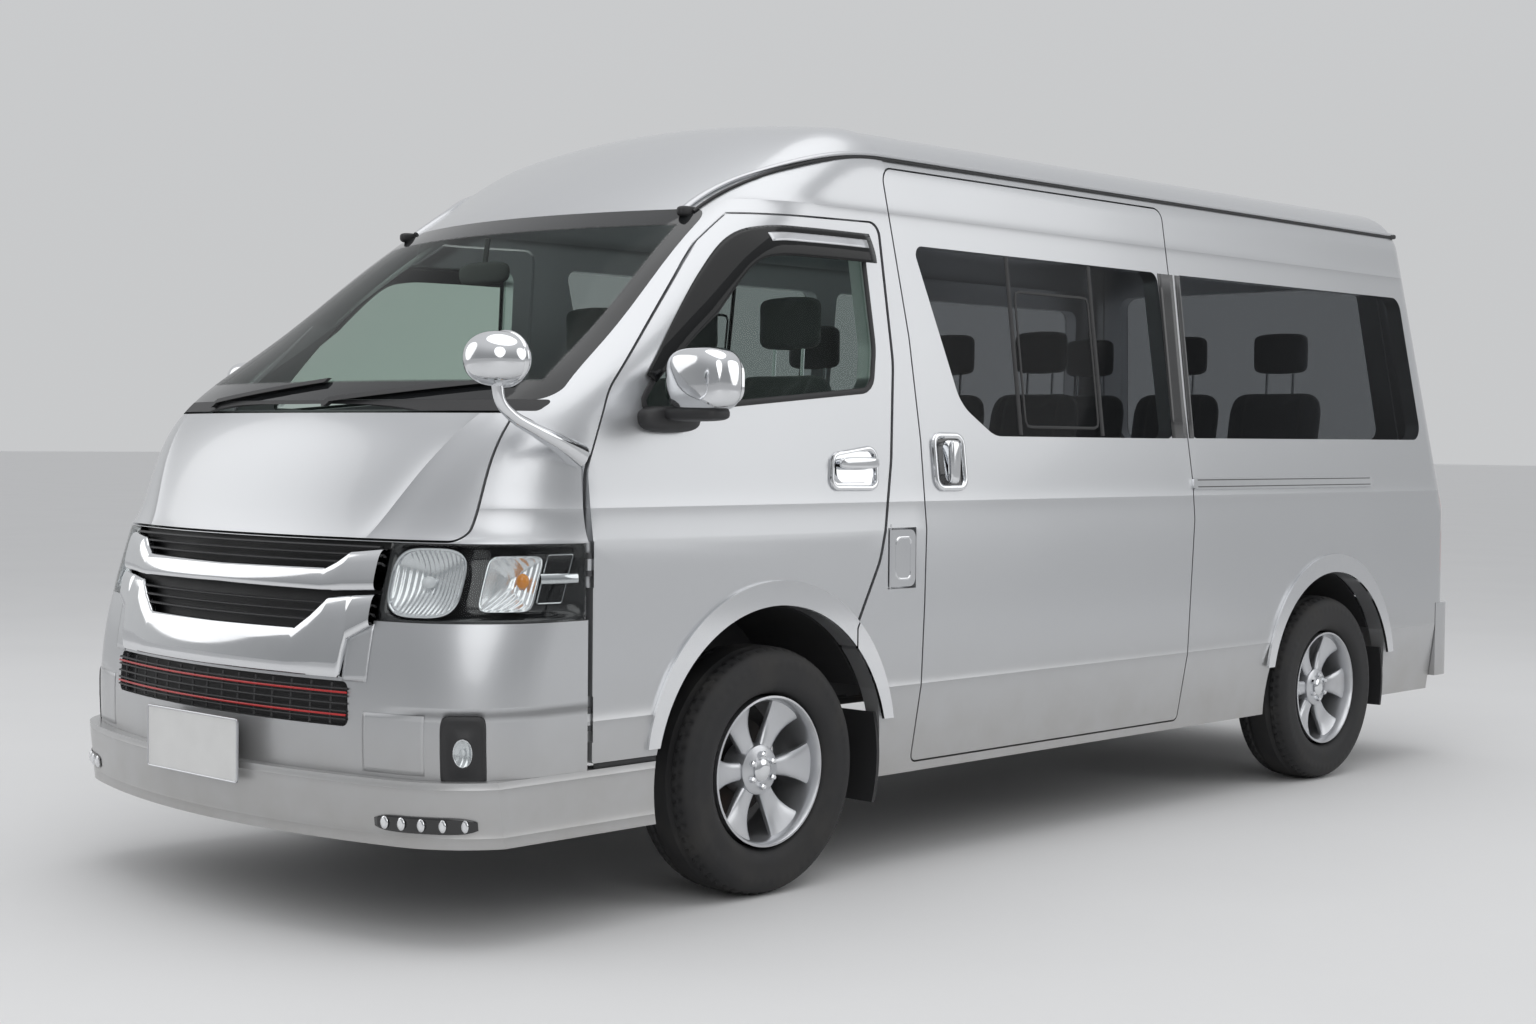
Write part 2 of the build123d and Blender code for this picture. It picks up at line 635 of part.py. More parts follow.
# Bulkhead across the cab's front, with the posts and pins that carry the doors and the bonnet
bulk_low_y = AXLE_F + BULKHEAD_Y
bulk_high_y = bulk_low_y + BULKHEAD_THICK
bulkhead = block(-800.0, 800.0, bulk_low_y, bulk_high_y, FLOOR_Z - FLOOR_THICK, 1300.0)
for reach in ((-POST_HALF, -POST_IN), (POST_IN, POST_HALF)):
    bulkhead += block(*reach, bulk_low_y, bulk_high_y, DOOR_BOTTOM_Z, LAMP_TOP_Z)
for side in (-1, 1):
    axis_x = side * door_axis[0]
    for z in DOOR_HINGES_Z:
        pin = rod_z(HINGE_PIN, z - HINGE_LENGTH / 2, z + HINGE_LENGTH / 2, axis_x, door_axis[1])
        for end in (-1, 1):
            inner = z + end * (HINGE_LENGTH / 4 + PIN_PLAY)
            outer = z + end * HINGE_LENGTH / 2
            low, high = min(inner, outer), max(inner, outer)
            pin += rod_z(HINGE_BARREL, low, high, axis_x, door_axis[1])
            reach = sorted((axis_x, side * (POST_HALF - 10.0)))
            pin += block(*reach, door_axis[1] - 9.0, door_axis[1], low, high)
        bulkhead += pin
    hinge_x = side * BONNET_HINGE_X
    for end in (-1, 1):
        inner = hinge_x + end * (HINGE_LENGTH / 4 + PIN_PLAY)
        reach = sorted((inner, hinge_x + end * HINGE_LENGTH / 2))
        bulkhead += rod_x(HINGE_BARREL, *reach, *bonnet_axis)
        bulkhead += bonnet_plate(0.0, HINGE_BARREL, 0.0, BONNET_ARM, *reach)
        bulkhead += block(*reach, bonnet_axis[0] + 45.0, bulk_low_y, 1180.0, 1298.0)
    bulkhead += rod_x(HINGE_PIN, hinge_x - HINGE_LENGTH / 2, hinge_x + HINGE_LENGTH / 2, *bonnet_axis)
parts["bulkhead"] = bulkhead

# Bumper, lip, lamps and grille
post_room = block(-POST_HALF - 4.0, POST_HALF + 4.0, bulk_low_y - 4.0, FAR, 0.0, FAR)
hinge_room = door_relief + mirrored(door_relief) + post_room
nose_zone = block(-FAR, FAR, -FAR, door_front_y, 0.0, FAR)
bumper = NOSE_SHELL & nose_zone & block(-FAR, FAR, -FAR, FAR, LIP_TOP_Z + SEAT, BUMPER_TOP_Z)
bumper -= hinge_room
lower_grille_face = both([(LOWER_GRILLE_HALF, 548.0, 20.0), (LOWER_GRILLE_HALF - 10.0, 662.0, 20.0)])
bumper -= front_prism(lower_grille_face, *front_zone)
bumper -= block(-GRILLE_HALF - SEAT, GRILLE_HALF + SEAT, -FAR, AXLE_F, GRILLE_LOW_Z, FAR)
for side in (-1, 1):
    bumper -= rod_y(FOG_RADIUS + SEAT, -FAR, AXLE_F + DOOR_FRONT - 60.0, side * FOG_X, FOG_Z)
parts["bumper_front"] = bumper
lip = nose_form(-LIP_REACH) - NOSE_IN
lip &= block(-HALF_WIDTH, HALF_WIDTH, -FAR, AXLE_F, LIP_BOTTOM_Z, LIP_TOP_Z)
lip -= arches + mirrored(arches)
lip -= post_room & block(-FAR, FAR, -FAR, AXLE_F + DOOR_FRONT, 0.0, FAR)
parts["lip_spoiler"] = lip
lamps = NOSE_SHELL & nose_zone
lamps &= block(GRILLE_HALF + LAMP_SEAM, FAR, -FAR, FAR, BUMPER_TOP_Z + SEAT, LAMP_TOP_Z)
lamps -= hinge_room
fog = (nose_form(FOG_RECESS) - NOSE_IN) & rod_y(FOG_RADIUS, -FAR, AXLE_F + DOOR_FRONT - 60.0, FOG_X, FOG_Z)
front_lamps = Compound(lamps.solids() + fog.solids())
parts["front_lamps"] = Compound(front_lamps.solids() + mirrored(front_lamps).solids())
GRILLE_SHELL = nose_form(GRILLE_DEPTH) - NOSE_IN
grille_zone = block(-GRILLE_HALF, GRILLE_HALF, -FAR, AXLE_F, GRILLE_LOW_Z + SEAT, LAMP_TOP_Z)
grille = GRILLE_SHELL & grille_zone
slat_rows = [block(-BAR_HALF, BAR_HALF, -FAR, AXLE_F, z, z + SLAT) for z in SLATS_Z]
grille += NOSE_SHELL & slat_rows
lower_core = GRILLE_SHELL & front_prism(offset(lower_grille_face, -SEAT), *front_zone)
parts["grille"] = Compound(grille.solids() + lower_core.solids())
bar_skin = nose_form(-CHROME_PROUD) - nose_form(GRILLE_DEPTH - SEAT)
bars = []
for low, high in BARS_Z:
    bars += (bar_skin & block(-BAR_HALF, BAR_HALF, -FAR, AXLE_F, low, high)).solids()
parts["grille_bars"] = Compound(bars)

# Front doors: panel with its hinge barrels, glass, mirror, and bright handle and arch trim
door_shell = (NOSE_SHELL & LEFT) + (CAB_SHELL & LEFT)
door = door_shell & side_prism(door_face, 0.0, FAR) & door_wall
door -= [side_prism(plate(DOOR_WINDOW), 0.0, FAR), arches]
for z in DOOR_HINGES_Z:
    low, high = z - HINGE_LENGTH / 4, z + HINGE_LENGTH / 4
    room = rod_z(HINGE_ROOM, z - HINGE_LENGTH, z + HINGE_LENGTH, *door_axis)
    door -= room
    barrel = rod_z(HINGE_BARREL, low, high, *door_axis)
    barrel += block(door_axis[0] - 4.0, door_axis[0] + 6.0, door_axis[1], door_axis[1] + 22.0, low, high)
    door += barrel - rod_z(HINGE_PIN + PIN_PLAY, low, high, *door_axis)
door_glass = lean_slab(-DOOR_GLASS_INSET - GLASS, -DOOR_GLASS_INSET)
door_glass &= side_prism(offset(plate(DOOR_WINDOW), -SEAT), 0.0, FAR)

# Door mirror: a tall rounded head on a foot that lies on the door
mirror_head = Pos(MIRROR_X, MIRROR_Y, MIRROR_Z) * Box(MIRROR_WIDE, MIRROR_DEEP, MIRROR_TALL)
mirror_head = fillet(mirror_head.edges(), MIRROR_DEEP * 0.42)
mirror_foot = block(HALF_WIDTH - 120.0, MIRROR_X, MIRROR_Y - 35.0, MIRROR_Y + 35.0,
                    MIRROR_Z - MIRROR_TALL / 2 - 22.0, MIRROR_Z - MIRROR_TALL / 2 + 20.0)
door_mirror = mirror_head + (mirror_foot - lean_slab(-FAR, SEAT))

# Bright pieces on the door: handle and the front of the arch trim
bright_slab = lean_slab(SEAT, TRIM_PROUD)
handle_face = Pos(HANDLE_Y - AXLE_F, HANDLE_Z) * RectangleRounded(160.0, 90.0, 28.0)
handle = bright_slab & side_prism(handle_face, 0.0, FAR)


def arch_ring(axle_y, radius, x_low, x_high):
    """Crescent of bright trim round a wheel arch, widest at its top."""
    ring = rod_x(radius + ARCH_TRIM / 2, x_low, x_high, axle_y, TYRE_RADIUS + ARCH_TRIM / 2)
    ring -= rod_x(radius + SEAT, x_low - 1.0, x_high + 1.0, axle_y, TYRE_RADIUS)
    return ring - block(x_low - 1.0, x_high + 1.0, -FAR, FAR, -FAR, TYRE_RADIUS + 112.0)


trim_low, trim_high = HALF_WIDTH + SEAT, HALF_WIDTH + TRIM_PROUD
front_trim = arch_ring(AXLE_F, ARCH_FRONT, trim_low, trim_high)
door_trim = front_trim & side_prism(door_face, 0.0, FAR)
pillar_trim = front_trim - side_prism(offset(door_face, GAP), 0.0, FAR)
pillar_trim &= block(0.0, FAR, AXLE_F + 300.0, FAR, 0.0, FAR)
rear_trim = arch_ring(AXLE_R, ARCH_REAR, trim_low, trim_high)
door_bright = Compound(handle.solids() + door_trim.solids())

door_pieces = {"door": door, "door_glass": door_glass, "door_mirror": door_mirror, "door_bright": door_bright}
for name, piece in door_pieces.items():
    parts[name + "_left"] = piece
    parts[name + "_right"] = mirrored(piece)

# Sliding door, side glass and the bright pieces on the body
slide_shell = HALF_SHELL & block(0.0, FAR, AXLE_F + 560.0, AXLE_F + 2200.0, SILL_Z, FAR)
slide = slide_shell & side_prism(slide_face, 0.0, FAR)
slide -= [side_prism(plate(SLIDE_WINDOW), 0.0, FAR), arches, front_prism(sill_face, AXLE_F, FAR)]
parts["sliding_door"] = slide
glass_band = lean_slab(-GLASS, 0.0)
side_glass = []
for rows in (SLIDE_WINDOW, QUARTER_WINDOW):
    side_glass += (glass_band & side_prism(offset(plate(rows), -SEAT), 0.0, FAR)).solids()
parts["side_glass_left"] = Compound(side_glass)
parts["side_glass_right"] = mirrored(Compound(side_glass))
rail_face = Pos(2780.0, RAIL_COVER_Z) * RectangleRounded(1290.0, RAIL_COVER_TALL, 12.0)
slide_handle_face = Pos(787.0, 1224.0) * RectangleRounded(70.0, 130.0, 28.0)
rail_cover = bright_slab & side_prism(rail_face, 0.0, FAR)
slide_handle = bright_slab & side_prism(slide_handle_face, 0.0, FAR)
bright = rail_cover.solids() + slide_handle.solids() + pillar_trim.solids() + rear_trim.solids()
bright += mirrored(pillar_trim).solids() + mirrored(rear_trim).solids()
parts["bright_trim"] = Compound(bright)

# Tailgate with its hinge barrels and glass
gate_shell = TAIL_SHELL & block(-FAR, FAR, rear_zone[0], FAR, 0.0, FAR)
gate = gate_shell & front_prism(gate_face, *rear_zone)
gate -= front_prism(gate_window_face, *rear_zone)
for x in (-GATE_HINGE_X, GATE_HINGE_X):
    low, high = x - HINGE_LENGTH / 4, x + HINGE_LENGTH / 4
    gate -= rod_x(HINGE_ROOM, x - HINGE_LENGTH, x + HINGE_LENGTH, *gate_axis)
    barrel = rod_x(HINGE_BARREL, low, high, *gate_axis)
    barrel += block(low, high, gate_axis[0] - 6.0, gate_axis[0] + 4.0, gate_axis[1] - 26.0, gate_axis[1])
    gate += barrel - rod_x(HINGE_PIN + PIN_PLAY, low, high, *gate_axis)
parts["tailgate"] = gate
rear_skin = (TAIL_OUT - tail_form(GLASS)) & block(-FAR, FAR, rear_zone[0], FAR, SHOULDER_Z, FAR)
parts["tailgate_glass"] = rear_skin & front_prism(offset(gate_window_face, -SEAT), *rear_zone)

# Tail lamps, rear bumper and mud flaps
tail_lamp = TAIL_SHELL & rear_lamp_block(0.0)
parts["tail_lamps"] = Compound(tail_lamp.solids() + mirrored(tail_lamp).solids())
bumper_block = block(-HALF_WIDTH, HALF_WIDTH, CAB_END, TAIL_Y + BUMPER_REAR_REACH, BUMPER_REAR_LOW_Z,
                     BUMPER_REAR_TOP_Z)
bumper_block = fillet(bumper_block.edges().filter_by(Axis.Z).group_by(Axis.Y)[-1], REAR_CORNER)
rear_bumper = bumper_block & block(-FAR, FAR, bumper_split + GAP, FAR, 0.0, FAR)
rear_bumper -= tail_form(WALL)
parts["bumper_rear"] = rear_bumper
flaps = []
for axle_y, radius, low_z in ((AXLE_F, ARCH_FRONT, 215.0), (AXLE_R, ARCH_REAR, 250.0)):
    sheet = rod_x(radius - SEAT, HALF_WIDTH - 240.0, HALF_WIDTH - 20.0, axle_y, TYRE_RADIUS)
    sheet -= rod_x(radius - SEAT - FLAP_SHEET, 0.0, FAR, axle_y, TYRE_RADIUS)
    sheet &= block(0.0, FAR, axle_y, FAR, low_z, TYRE_RADIUS + 130.0)
    flaps += [sheet, mirrored(sheet)]
parts["mud_flaps"] = Compound([flap.solid() for flap in flaps])

# Wipers that lie on the windscreen, each on a boss at the cowl
wiper_skin = cab_form(-WIPER_LIFT - WIPER_THICK) - cab_form(-WIPER_LIFT)
boss_skin = cab_form(-WIPER_LIFT - WIPER_THICK) - cab_form(-SEAT)
wipers = []
# Pivot across, pivot height, tip across, tip height
for foot_x, foot_z, tip_x, tip_z in ((150.0, 1378.0, 720.0, 1440.0), (-480.0, 1378.0, 60.0, 1440.0)):
    blade = make_face(Polyline((foot_x - 6.0, foot_z), (tip_x, tip_z - 6.0), (tip_x, tip_z + 6.0),
                               (foot_x - 6.0, foot_z + 14.0), close=True))
    arm = wiper_skin & front_prism(blade, -FAR, AXLE_F + DOOR_FRONT)
    boss = boss_skin & rod_y(12.0, -FAR, AXLE_F + DOOR_FRONT, foot_x, foot_z)
    wipers += (arm + boss).solids()
parts["wipers"] = Compound(wipers)

# Small mirror on the front left corner: foot, bent stalk and round head


def strut(start, end, radius):
    """A round bar from one point to another."""
    run = Vector(*end) - Vector(*start)
    middle = (Vector(*start) + Vector(*end)) * 0.5
    return Plane(origin=middle, z_dir=run) * Cylinder(radius, run.length)


corner_mirror = strut(CORNER_FOOT, CORNER_KNEE, STALK) + Pos(*CORNER_KNEE) * Sphere(STALK)
corner_mirror += strut(CORNER_KNEE, CORNER_HEAD, STALK)
corner_mirror += Pos(*CORNER_FOOT) * Sphere(34.0)
corner_mirror += Pos(*CORNER_HEAD) * (Sphere(HEAD_RADIUS) & Pos(0, -25.0, 0) * Box(200.0, 110.0, 200.0))
parts["corner_mirror"] = corner_mirror - cab_form(-SEAT)

# Floor with its rails, spring hangers and jack pads, and the four wheel housings
cab_half = HALF_WIDTH - WALL - DOOR_CLEAR
slab = low_form(WALL + SEAT) & block(-FAR, FAR, -FAR, FAR, FLOOR_Z - FLOOR_THICK, FLOOR_Z)
slab += block(-cab_half, cab_half, AXLE_F + BULKHEAD_Y + BULKHEAD_THICK + SEAT, CAB_END + 1.0,
              FLOOR_Z - FLOOR_THICK, FLOOR_Z)
room_half = ENGINE_HALF + ENGINE_ROOM
engine_room = block(-room_half, room_half, ENGINE_FRONT - ENGINE_ROOM, ENGINE_BACK + ENGINE_ROOM, 0.0, FAR)
well_grown = HOUSING_SKIN + SEAT
wells = rod_x(ARCH_FRONT + well_grown, HOUSING_INNER_X - well_grown, FAR, AXLE_F, TYRE_RADIUS)
wells += rod_x(ARCH_REAR + well_grown, HOUSING_INNER_X - well_grown, FAR, AXLE_R, TYRE_RADIUS)
floor = slab - [wells, mirrored(wells), engine_room]
rail_top = FLOOR_Z - FLOOR_THICK
rail_front = AXLE_F + NOSE + WALL + 60.0
for side in (-1, 1):
    floor += block(side * RAIL_X - RAIL_WIDTH / 2, side * RAIL_X + RAIL_WIDTH / 2, rail_front,
                   TAIL_Y - WALL - SEAT, rail_top - RAIL_DEPTH, rail_top)
    floor += block(side * RAIL_X - JACK_PAD / 2, side * RAIL_X + JACK_PAD / 2, JACK_Y - JACK_PAD / 2,
                   JACK_Y + JACK_PAD / 2, rail_top - RAIL_DEPTH - JACK_DROP, rail_top - RAIL_DEPTH)
    reach = sorted((side * RAIL_X, side * (SPRING_X + SPRING_WIDTH / 2)))
    for y in HANGER_Y:
        floor += block(*reach, y - 30.0, y + 30.0, rail_top - RAIL_DEPTH, rail_top)
floor -= block(-FAR, FAR, -FAR, AXLE_F + BULKHEAD_Y + BULKHEAD_THICK, rail_top - SEAT, FAR)
parts["floor"] = floor

housings = []
housing_out = HALF_WIDTH - WALL - DOOR_CLEAR
for axle_y, radius in ((AXLE_F, ARCH_FRONT), (AXLE_R, ARCH_REAR)):
    dome = rod_x(radius + HOUSING_SKIN, HOUSING_INNER_X - HOUSING_SKIN, housing_out, axle_y, TYRE_RADIUS)
    dome -= rod_x(radius, HOUSING_INNER_X, FAR, axle_y, TYRE_RADIUS)
    dome -= block(-FAR, FAR, -FAR, FAR, -FAR, FLOOR_Z - FLOOR_THICK)
    housings += [dome.solid(), mirrored(dome).solid()]
parts["wheel_housings"] = Compound(housings)

# Dashboard, steering column and steering wheel
dash_plan = [(half, AXLE_F + y) for half, y in DASH_PLAN]
dash_plan += [(-half, y) for half, y in reversed(dash_plan)]
dash = side_prism(plate(DASH), -FAR, FAR) & extrude(make_face(Polyline(*dash_plan, close=True)), amount=FAR)
tilt = math.radians(COLUMN_TILT)
column_dir = Vector(0.0, math.sin(tilt), math.cos(tilt))
wheel_centre = Vector(STEER_X, AXLE_F - 250.0, 1185.0)
column_foot = wheel_centre - column_dir * 300.0
column_top = wheel_centre - column_dir * 20.0
dash += strut(tuple(column_foot), tuple(column_top), 34.0)
dash += strut(tuple(column_top), tuple(wheel_centre + column_dir * 12.0), COLUMN_SHAFT)
parts["dashboard"] = dash
wheel_plane = Plane(origin=wheel_centre, z_dir=column_dir, x_dir=(1, 0, 0))
steering = Torus(RIM_RING, RIM_TUBE) + Pos(0, 0, -2.0) * Cylinder(46.0, 30.0)
for turn in (0.0, 180.0, 270.0):
    steering += Rot(0, 0, turn) * Pos(RIM_RING / 2 + 10.0, 0, 0) * Box(RIM_RING - 20.0, 34.0, 14.0)
steering -= Cylinder(COLUMN_SHAFT + PIN_PLAY, 80.0)
steering -= Pos(0, 0, -20.0 - 20.0 + 0.5) * Cylinder(60.0, 40.0)
parts["steering_wheel"] = wheel_plane * steering

# Seats: cushion, back and head rest over a base, row by row
seats = {"front": [], "rear": []}
bases = []
for row, y, z, places in SEAT_ROWS:
    for low, high in places:
        seat = side_prism(Pos(y, z + SEAT) * plate(SEAT_PROFILE), low, high)
        rest_mid = (low + high) / 2
        rest = side_prism(Pos(y + 610.0, z + 790.0) * RectangleRounded(85.0, 170.0, 35.0),
                          rest_mid - HEAD_REST_WIDE / 2, rest_mid + HEAD_REST_WIDE / 2)
        for post in (-60.0, 60.0):
            seat += rod_z(7.0, z + 600.0, z + 760.0, rest_mid + post, AXLE_F + y + 605.0)
        seats[row] += (seat + rest).solids()
    if row == "rear":
        base = block(places[0][0] + 30.0, places[-1][1] - 30.0, AXLE_F + y + 60.0, AXLE_F + y + 460.0,
                     FLOOR_Z + SEAT, z)
        bases += (base - wells - mirrored(wells)).solids()
deck = block(-HOUSING_INNER_X + 20.0, HOUSING_INNER_X - 20.0, AXLE_F - 100.0, AXLE_F + 540.0, FLOOR_Z + SEAT,
             SEAT_DECK_Z)
deck -= engine_room & block(-FAR, FAR, -FAR, FAR, 0.0, SEAT_DECK_Z - DECK_SKIN)
parts["seats_front"] = Compound(seats["front"])
parts["seats_rear"] = Compound(seats["rear"])
parts["seat_bases"] = Compound(bases + deck.solids())

# Wheels: tyre and six-spoke wheel, turned about X at the origin and then carried to each corner
half_tyre = TYRE_WIDTH / 2
tyre_rows = [
    (-half_tyre + 22.0, RIM_RADIUS - 6.0, 0.0),
    (-half_tyre, RIM_RADIUS + 52.0, 40.0),
    (-half_tyre + 12.0, TYRE_RADIUS, 26.0),
    (half_tyre - 12.0, TYRE_RADIUS, 26.0),
    (half_tyre, RIM_RADIUS + 52.0, 40.0),
    (half_tyre - 22.0, RIM_RADIUS - 6.0, 0.0),
]
tyre = revolve(Plane.XY * plate(tyre_rows), Axis.X)
barrel_rows = [
    (-half_tyre + 16.0, RIM_RADIUS - 6.3, 0.0),
    (half_tyre - 16.0, RIM_RADIUS - 6.3, 0.0),
    (half_tyre - 16.0, RIM_RADIUS - 18.0, 0.0),
    (-half_tyre + 16.0, RIM_RADIUS - 18.0, 0.0),
]
rim = revolve(Plane.XY * plate(barrel_rows), Axis.X)
dish_rows = [
    (FACE_OUT - 20.0, HUB_RADIUS - 10.0, 0.0),
    (FACE_OUT - 26.0, 150.0, 0.0),
    (half_tyre - 34.0, RIM_RADIUS - 17.0, 0.0),
    (half_tyre - 18.0, RIM_RADIUS - 17.0, 0.0),
    (FACE_OUT - 2.0, 150.0, 0.0),
    (FACE_OUT, HUB_RADIUS - 10.0, 0.0),
]
dish = revolve(Plane.XY * plate(dish_rows), Axis.X)
for spoke in range(SPOKES):
    window = plate([(96.0, -22.0, 10.0), (192.0, -66.0, 22.0), (192.0, 66.0, 22.0), (96.0, 22.0, 10.0)])
    window = Rot(360.0 / SPOKES * (spoke + 0.5), 0, 0) * extrude(Plane.YZ * window, amount=FAR, both=True)
    dish -= window
rim += dish
rim += Pos((HUB_IN + FACE_OUT) / 2, 0, 0) * Rot(0, 90, 0) * Cylinder(HUB_RADIUS, FACE_OUT - HUB_IN)
rim -= Pos(HUB_IN + 40.0, 0, 0) * Rot(0, 90, 0) * Cylinder(SPINDLE + PIN_PLAY, 80.0)
for name, x, y in (("front_left", TRACK_FRONT / 2, AXLE_F), ("rear_left", TRACK_REAR / 2, AXLE_R)):
    for node, piece in (("tyre_", tyre), ("wheel_", rim)):
        placed = Pos(x, y, TYRE_RADIUS) * piece
        parts[node + name] = placed
        parts[node + name.replace("left", "right")] = mirrored(placed)

# Front knuckles: upright on its king pin, brake disc and spindle
kingpin_x = TRACK_FRONT / 2 - KINGPIN_INSET
hub_face_x = TRACK_FRONT / 2 + HUB_IN
upright = block(kingpin_x - UPRIGHT / 2, kingpin_x + UPRIGHT / 2, AXLE_F - 40.0, AXLE_F + 40.0,
                TYRE_RADIUS - UPRIGHT_HALF_Z, TYRE_RADIUS + UPRIGHT_HALF_Z)
upright += rod_z(KINGPIN, TYRE_RADIUS - UPRIGHT_HALF_Z - ARM_EYE, TYRE_RADIUS + UPRIGHT_HALF_Z + ARM_EYE,
                 kingpin_x, AXLE_F)
upright += rod_x(40.0, kingpin_x, hub_face_x - HUB_CLEAR, AXLE_F, TYRE_RADIUS)
upright += rod_x(SPINDLE, kingpin_x, hub_face_x + SPINDLE_REACH, AXLE_F, TYRE_RADIUS)
upright += rod_x(BRAKE_RADIUS, hub_face_x - 34.0, hub_face_x - HUB_CLEAR, AXLE_F, TYRE_RADIUS)
parts["knuckle_left"] = upright
parts["knuckle_right"] = mirrored(upright)

# Front suspension: cross member between the rails and an upper and a lower arm on each side
cross = block(-ARM_ROOT_X, ARM_ROOT_X, AXLE_F - 60.0, AXLE_F + 60.0, 215.0, 300.0)
cross -= block(-ENGINE_HALF - ENGINE_ROOM, ENGINE_HALF + ENGINE_ROOM, -FAR, FAR, 270.0, FAR)
front_frame = cross
for side in (-1, 1):
    tower = sorted((side * (ARM_ROOT_X - 60.0), side * (ARM_ROOT_X + 20.0)))
    front_frame += block(*tower, AXLE_F - 60.0, AXLE_F + 60.0, 250.0, rail_top - RAIL_DEPTH - SEAT)
    for sign in (-1, 1):
        near = TYRE_RADIUS + sign * (UPRIGHT_HALF_Z + PIN_PLAY)
        far = TYRE_RADIUS + sign * (UPRIGHT_HALF_Z + ARM_EYE)
        low, high = min(near, far), max(near, far)
        reach = sorted((side * (ARM_ROOT_X - 10.0), side * kingpin_x))
        arm = block(*reach, AXLE_F - 26.0, AXLE_F + 26.0, low, high)
        arm += rod_z(26.0, low, high, side * kingpin_x, AXLE_F)
        arm -= rod_z(KINGPIN + PIN_PLAY, low, high, side * kingpin_x, AXLE_F)
        front_frame += arm
parts["front_suspension"] = front_frame

# Rear axle with brake drums and spindles, and its leaf springs
rear_hub_x = TRACK_REAR / 2 + HUB_IN
axle = rod_x(AXLE_TUBE, -rear_hub_x + HUB_CLEAR, rear_hub_x - HUB_CLEAR, AXLE_R, TYRE_RADIUS)
axle += rod_x(DIFF, -90.0, 90.0, AXLE_R, TYRE_RADIUS)
for side in (-1, 1):
    drum = sorted((side * (rear_hub_x - 72.0), side * (rear_hub_x - HUB_CLEAR)))
    stub = sorted((side * (rear_hub_x - 40.0), side * (rear_hub_x + SPINDLE_REACH)))
    axle += rod_x(BRAKE_RADIUS, *drum, AXLE_R, TYRE_RADIUS)
    axle += rod_x(SPINDLE, *stub, AXLE_R, TYRE_RADIUS)
parts["rear_axle"] = axle
spring_mid = TYRE_RADIUS + AXLE_TUBE + SEAT
spring_end = rail_top - RAIL_DEPTH - SEAT - LEAF
leaf_line = ThreePointArc((HANGER_Y[0], spring_end), (AXLE_R, spring_mid), (HANGER_Y[1], spring_end))
leaf_top = ThreePointArc((HANGER_Y[0], spring_end + LEAF), (AXLE_R, spring_mid + LEAF),
                         (HANGER_Y[1], spring_end + LEAF))
leaf_ends = [Line(leaf_line @ end, leaf_top @ end) for end in (0, 1)]
leaf_face = make_face([leaf_line, leaf_top] + leaf_ends)
leaf = side_prism(leaf_face, SPRING_X - SPRING_WIDTH / 2, SPRING_X + SPRING_WIDTH / 2, from_axle=False)
parts["leaf_springs"] = Compound([leaf.solid(), mirrored(leaf).solid()])

# Engine with gearbox and shaft, exhaust, fuel tank and spare wheel
engine = block(-ENGINE_HALF, ENGINE_HALF, ENGINE_FRONT, ENGINE_BACK, 320.0, SEAT_DECK_Z - 40.0)
engine += rod_y(130.0, ENGINE_BACK - 10.0, ENGINE_BACK + 500.0, 0.0, GEARBOX_Z)
shaft_start = (0.0, ENGINE_BACK + 490.0, GEARBOX_Z)
shaft_end = (0.0, AXLE_R - 128.0, TYRE_RADIUS + 10.0)
engine += strut(shaft_start, shaft_end, 38.0)
engine -= rod_x(DIFF + SEAT, -FAR, FAR, AXLE_R, TYRE_RADIUS)
beam_half = RAIL_X - RAIL_WIDTH / 2 - SEAT
engine += block(-beam_half, beam_half, AXLE_F + 150.0, AXLE_F + 260.0, 480.0, 540.0)
parts["engine"] = engine
pipe_line = FilletPolyline((PIPE_X, ENGINE_BACK + 120.0, PIPE_Z), (PIPE_X, AXLE_R - 420.0, PIPE_Z),
                           (PIPE_X, AXLE_R - 180.0, 500.0 - 60.0), (PIPE_X, AXLE_R + 210.0, 440.0),
                           (PIPE_X, AXLE_R + 330.0, PIPE_Z), (PIPE_X, TAIL_Y - WALL - 20.0, PIPE_Z),
                           radius=60.0)
pipe = sweep(Plane(origin=pipe_line @ 0, z_dir=pipe_line % 0) * Circle(26.0), path=pipe_line)
exhaust = pipe + rod_y(90.0, AXLE_F + 1500.0, AXLE_F + 2150.0, PIPE_X, PIPE_Z)
for y in (AXLE_F + 1300.0, AXLE_R + 800.0):
    exhaust += block(PIPE_X - 8.0, PIPE_X + 8.0, y - 10.0, y + 10.0, PIPE_Z, rail_top - SEAT)
parts["exhaust"] = exhaust
tank = block(500.0, 820.0, AXLE_F + 1000.0, AXLE_F + 1900.0, 330.0, rail_top - SEAT)
parts["fuel_tank"] = fillet(tank.edges().filter_by(Axis.Y), 40.0)
spare = Pos(SPARE_X, SPARE_Y, 0.0) * (Pos(0, 0, 440.0) * Rot(0, 90, 0) * tyre)
spare += rod_z(RIM_RADIUS, 420.0, 440.0, SPARE_X, SPARE_Y)
spare += rod_z(10.0, 430.0, rail_top - SEAT, SPARE_X, SPARE_Y)
parts["spare_wheel"] = spare

os.makedirs("parts", exist_ok=True)
for name, piece in parts.items():
    export_step(piece, f"parts/{name}.step")
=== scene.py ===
import json
import math

import bmesh
import bpy
import numpy as np
from mathutils import Matrix, Vector


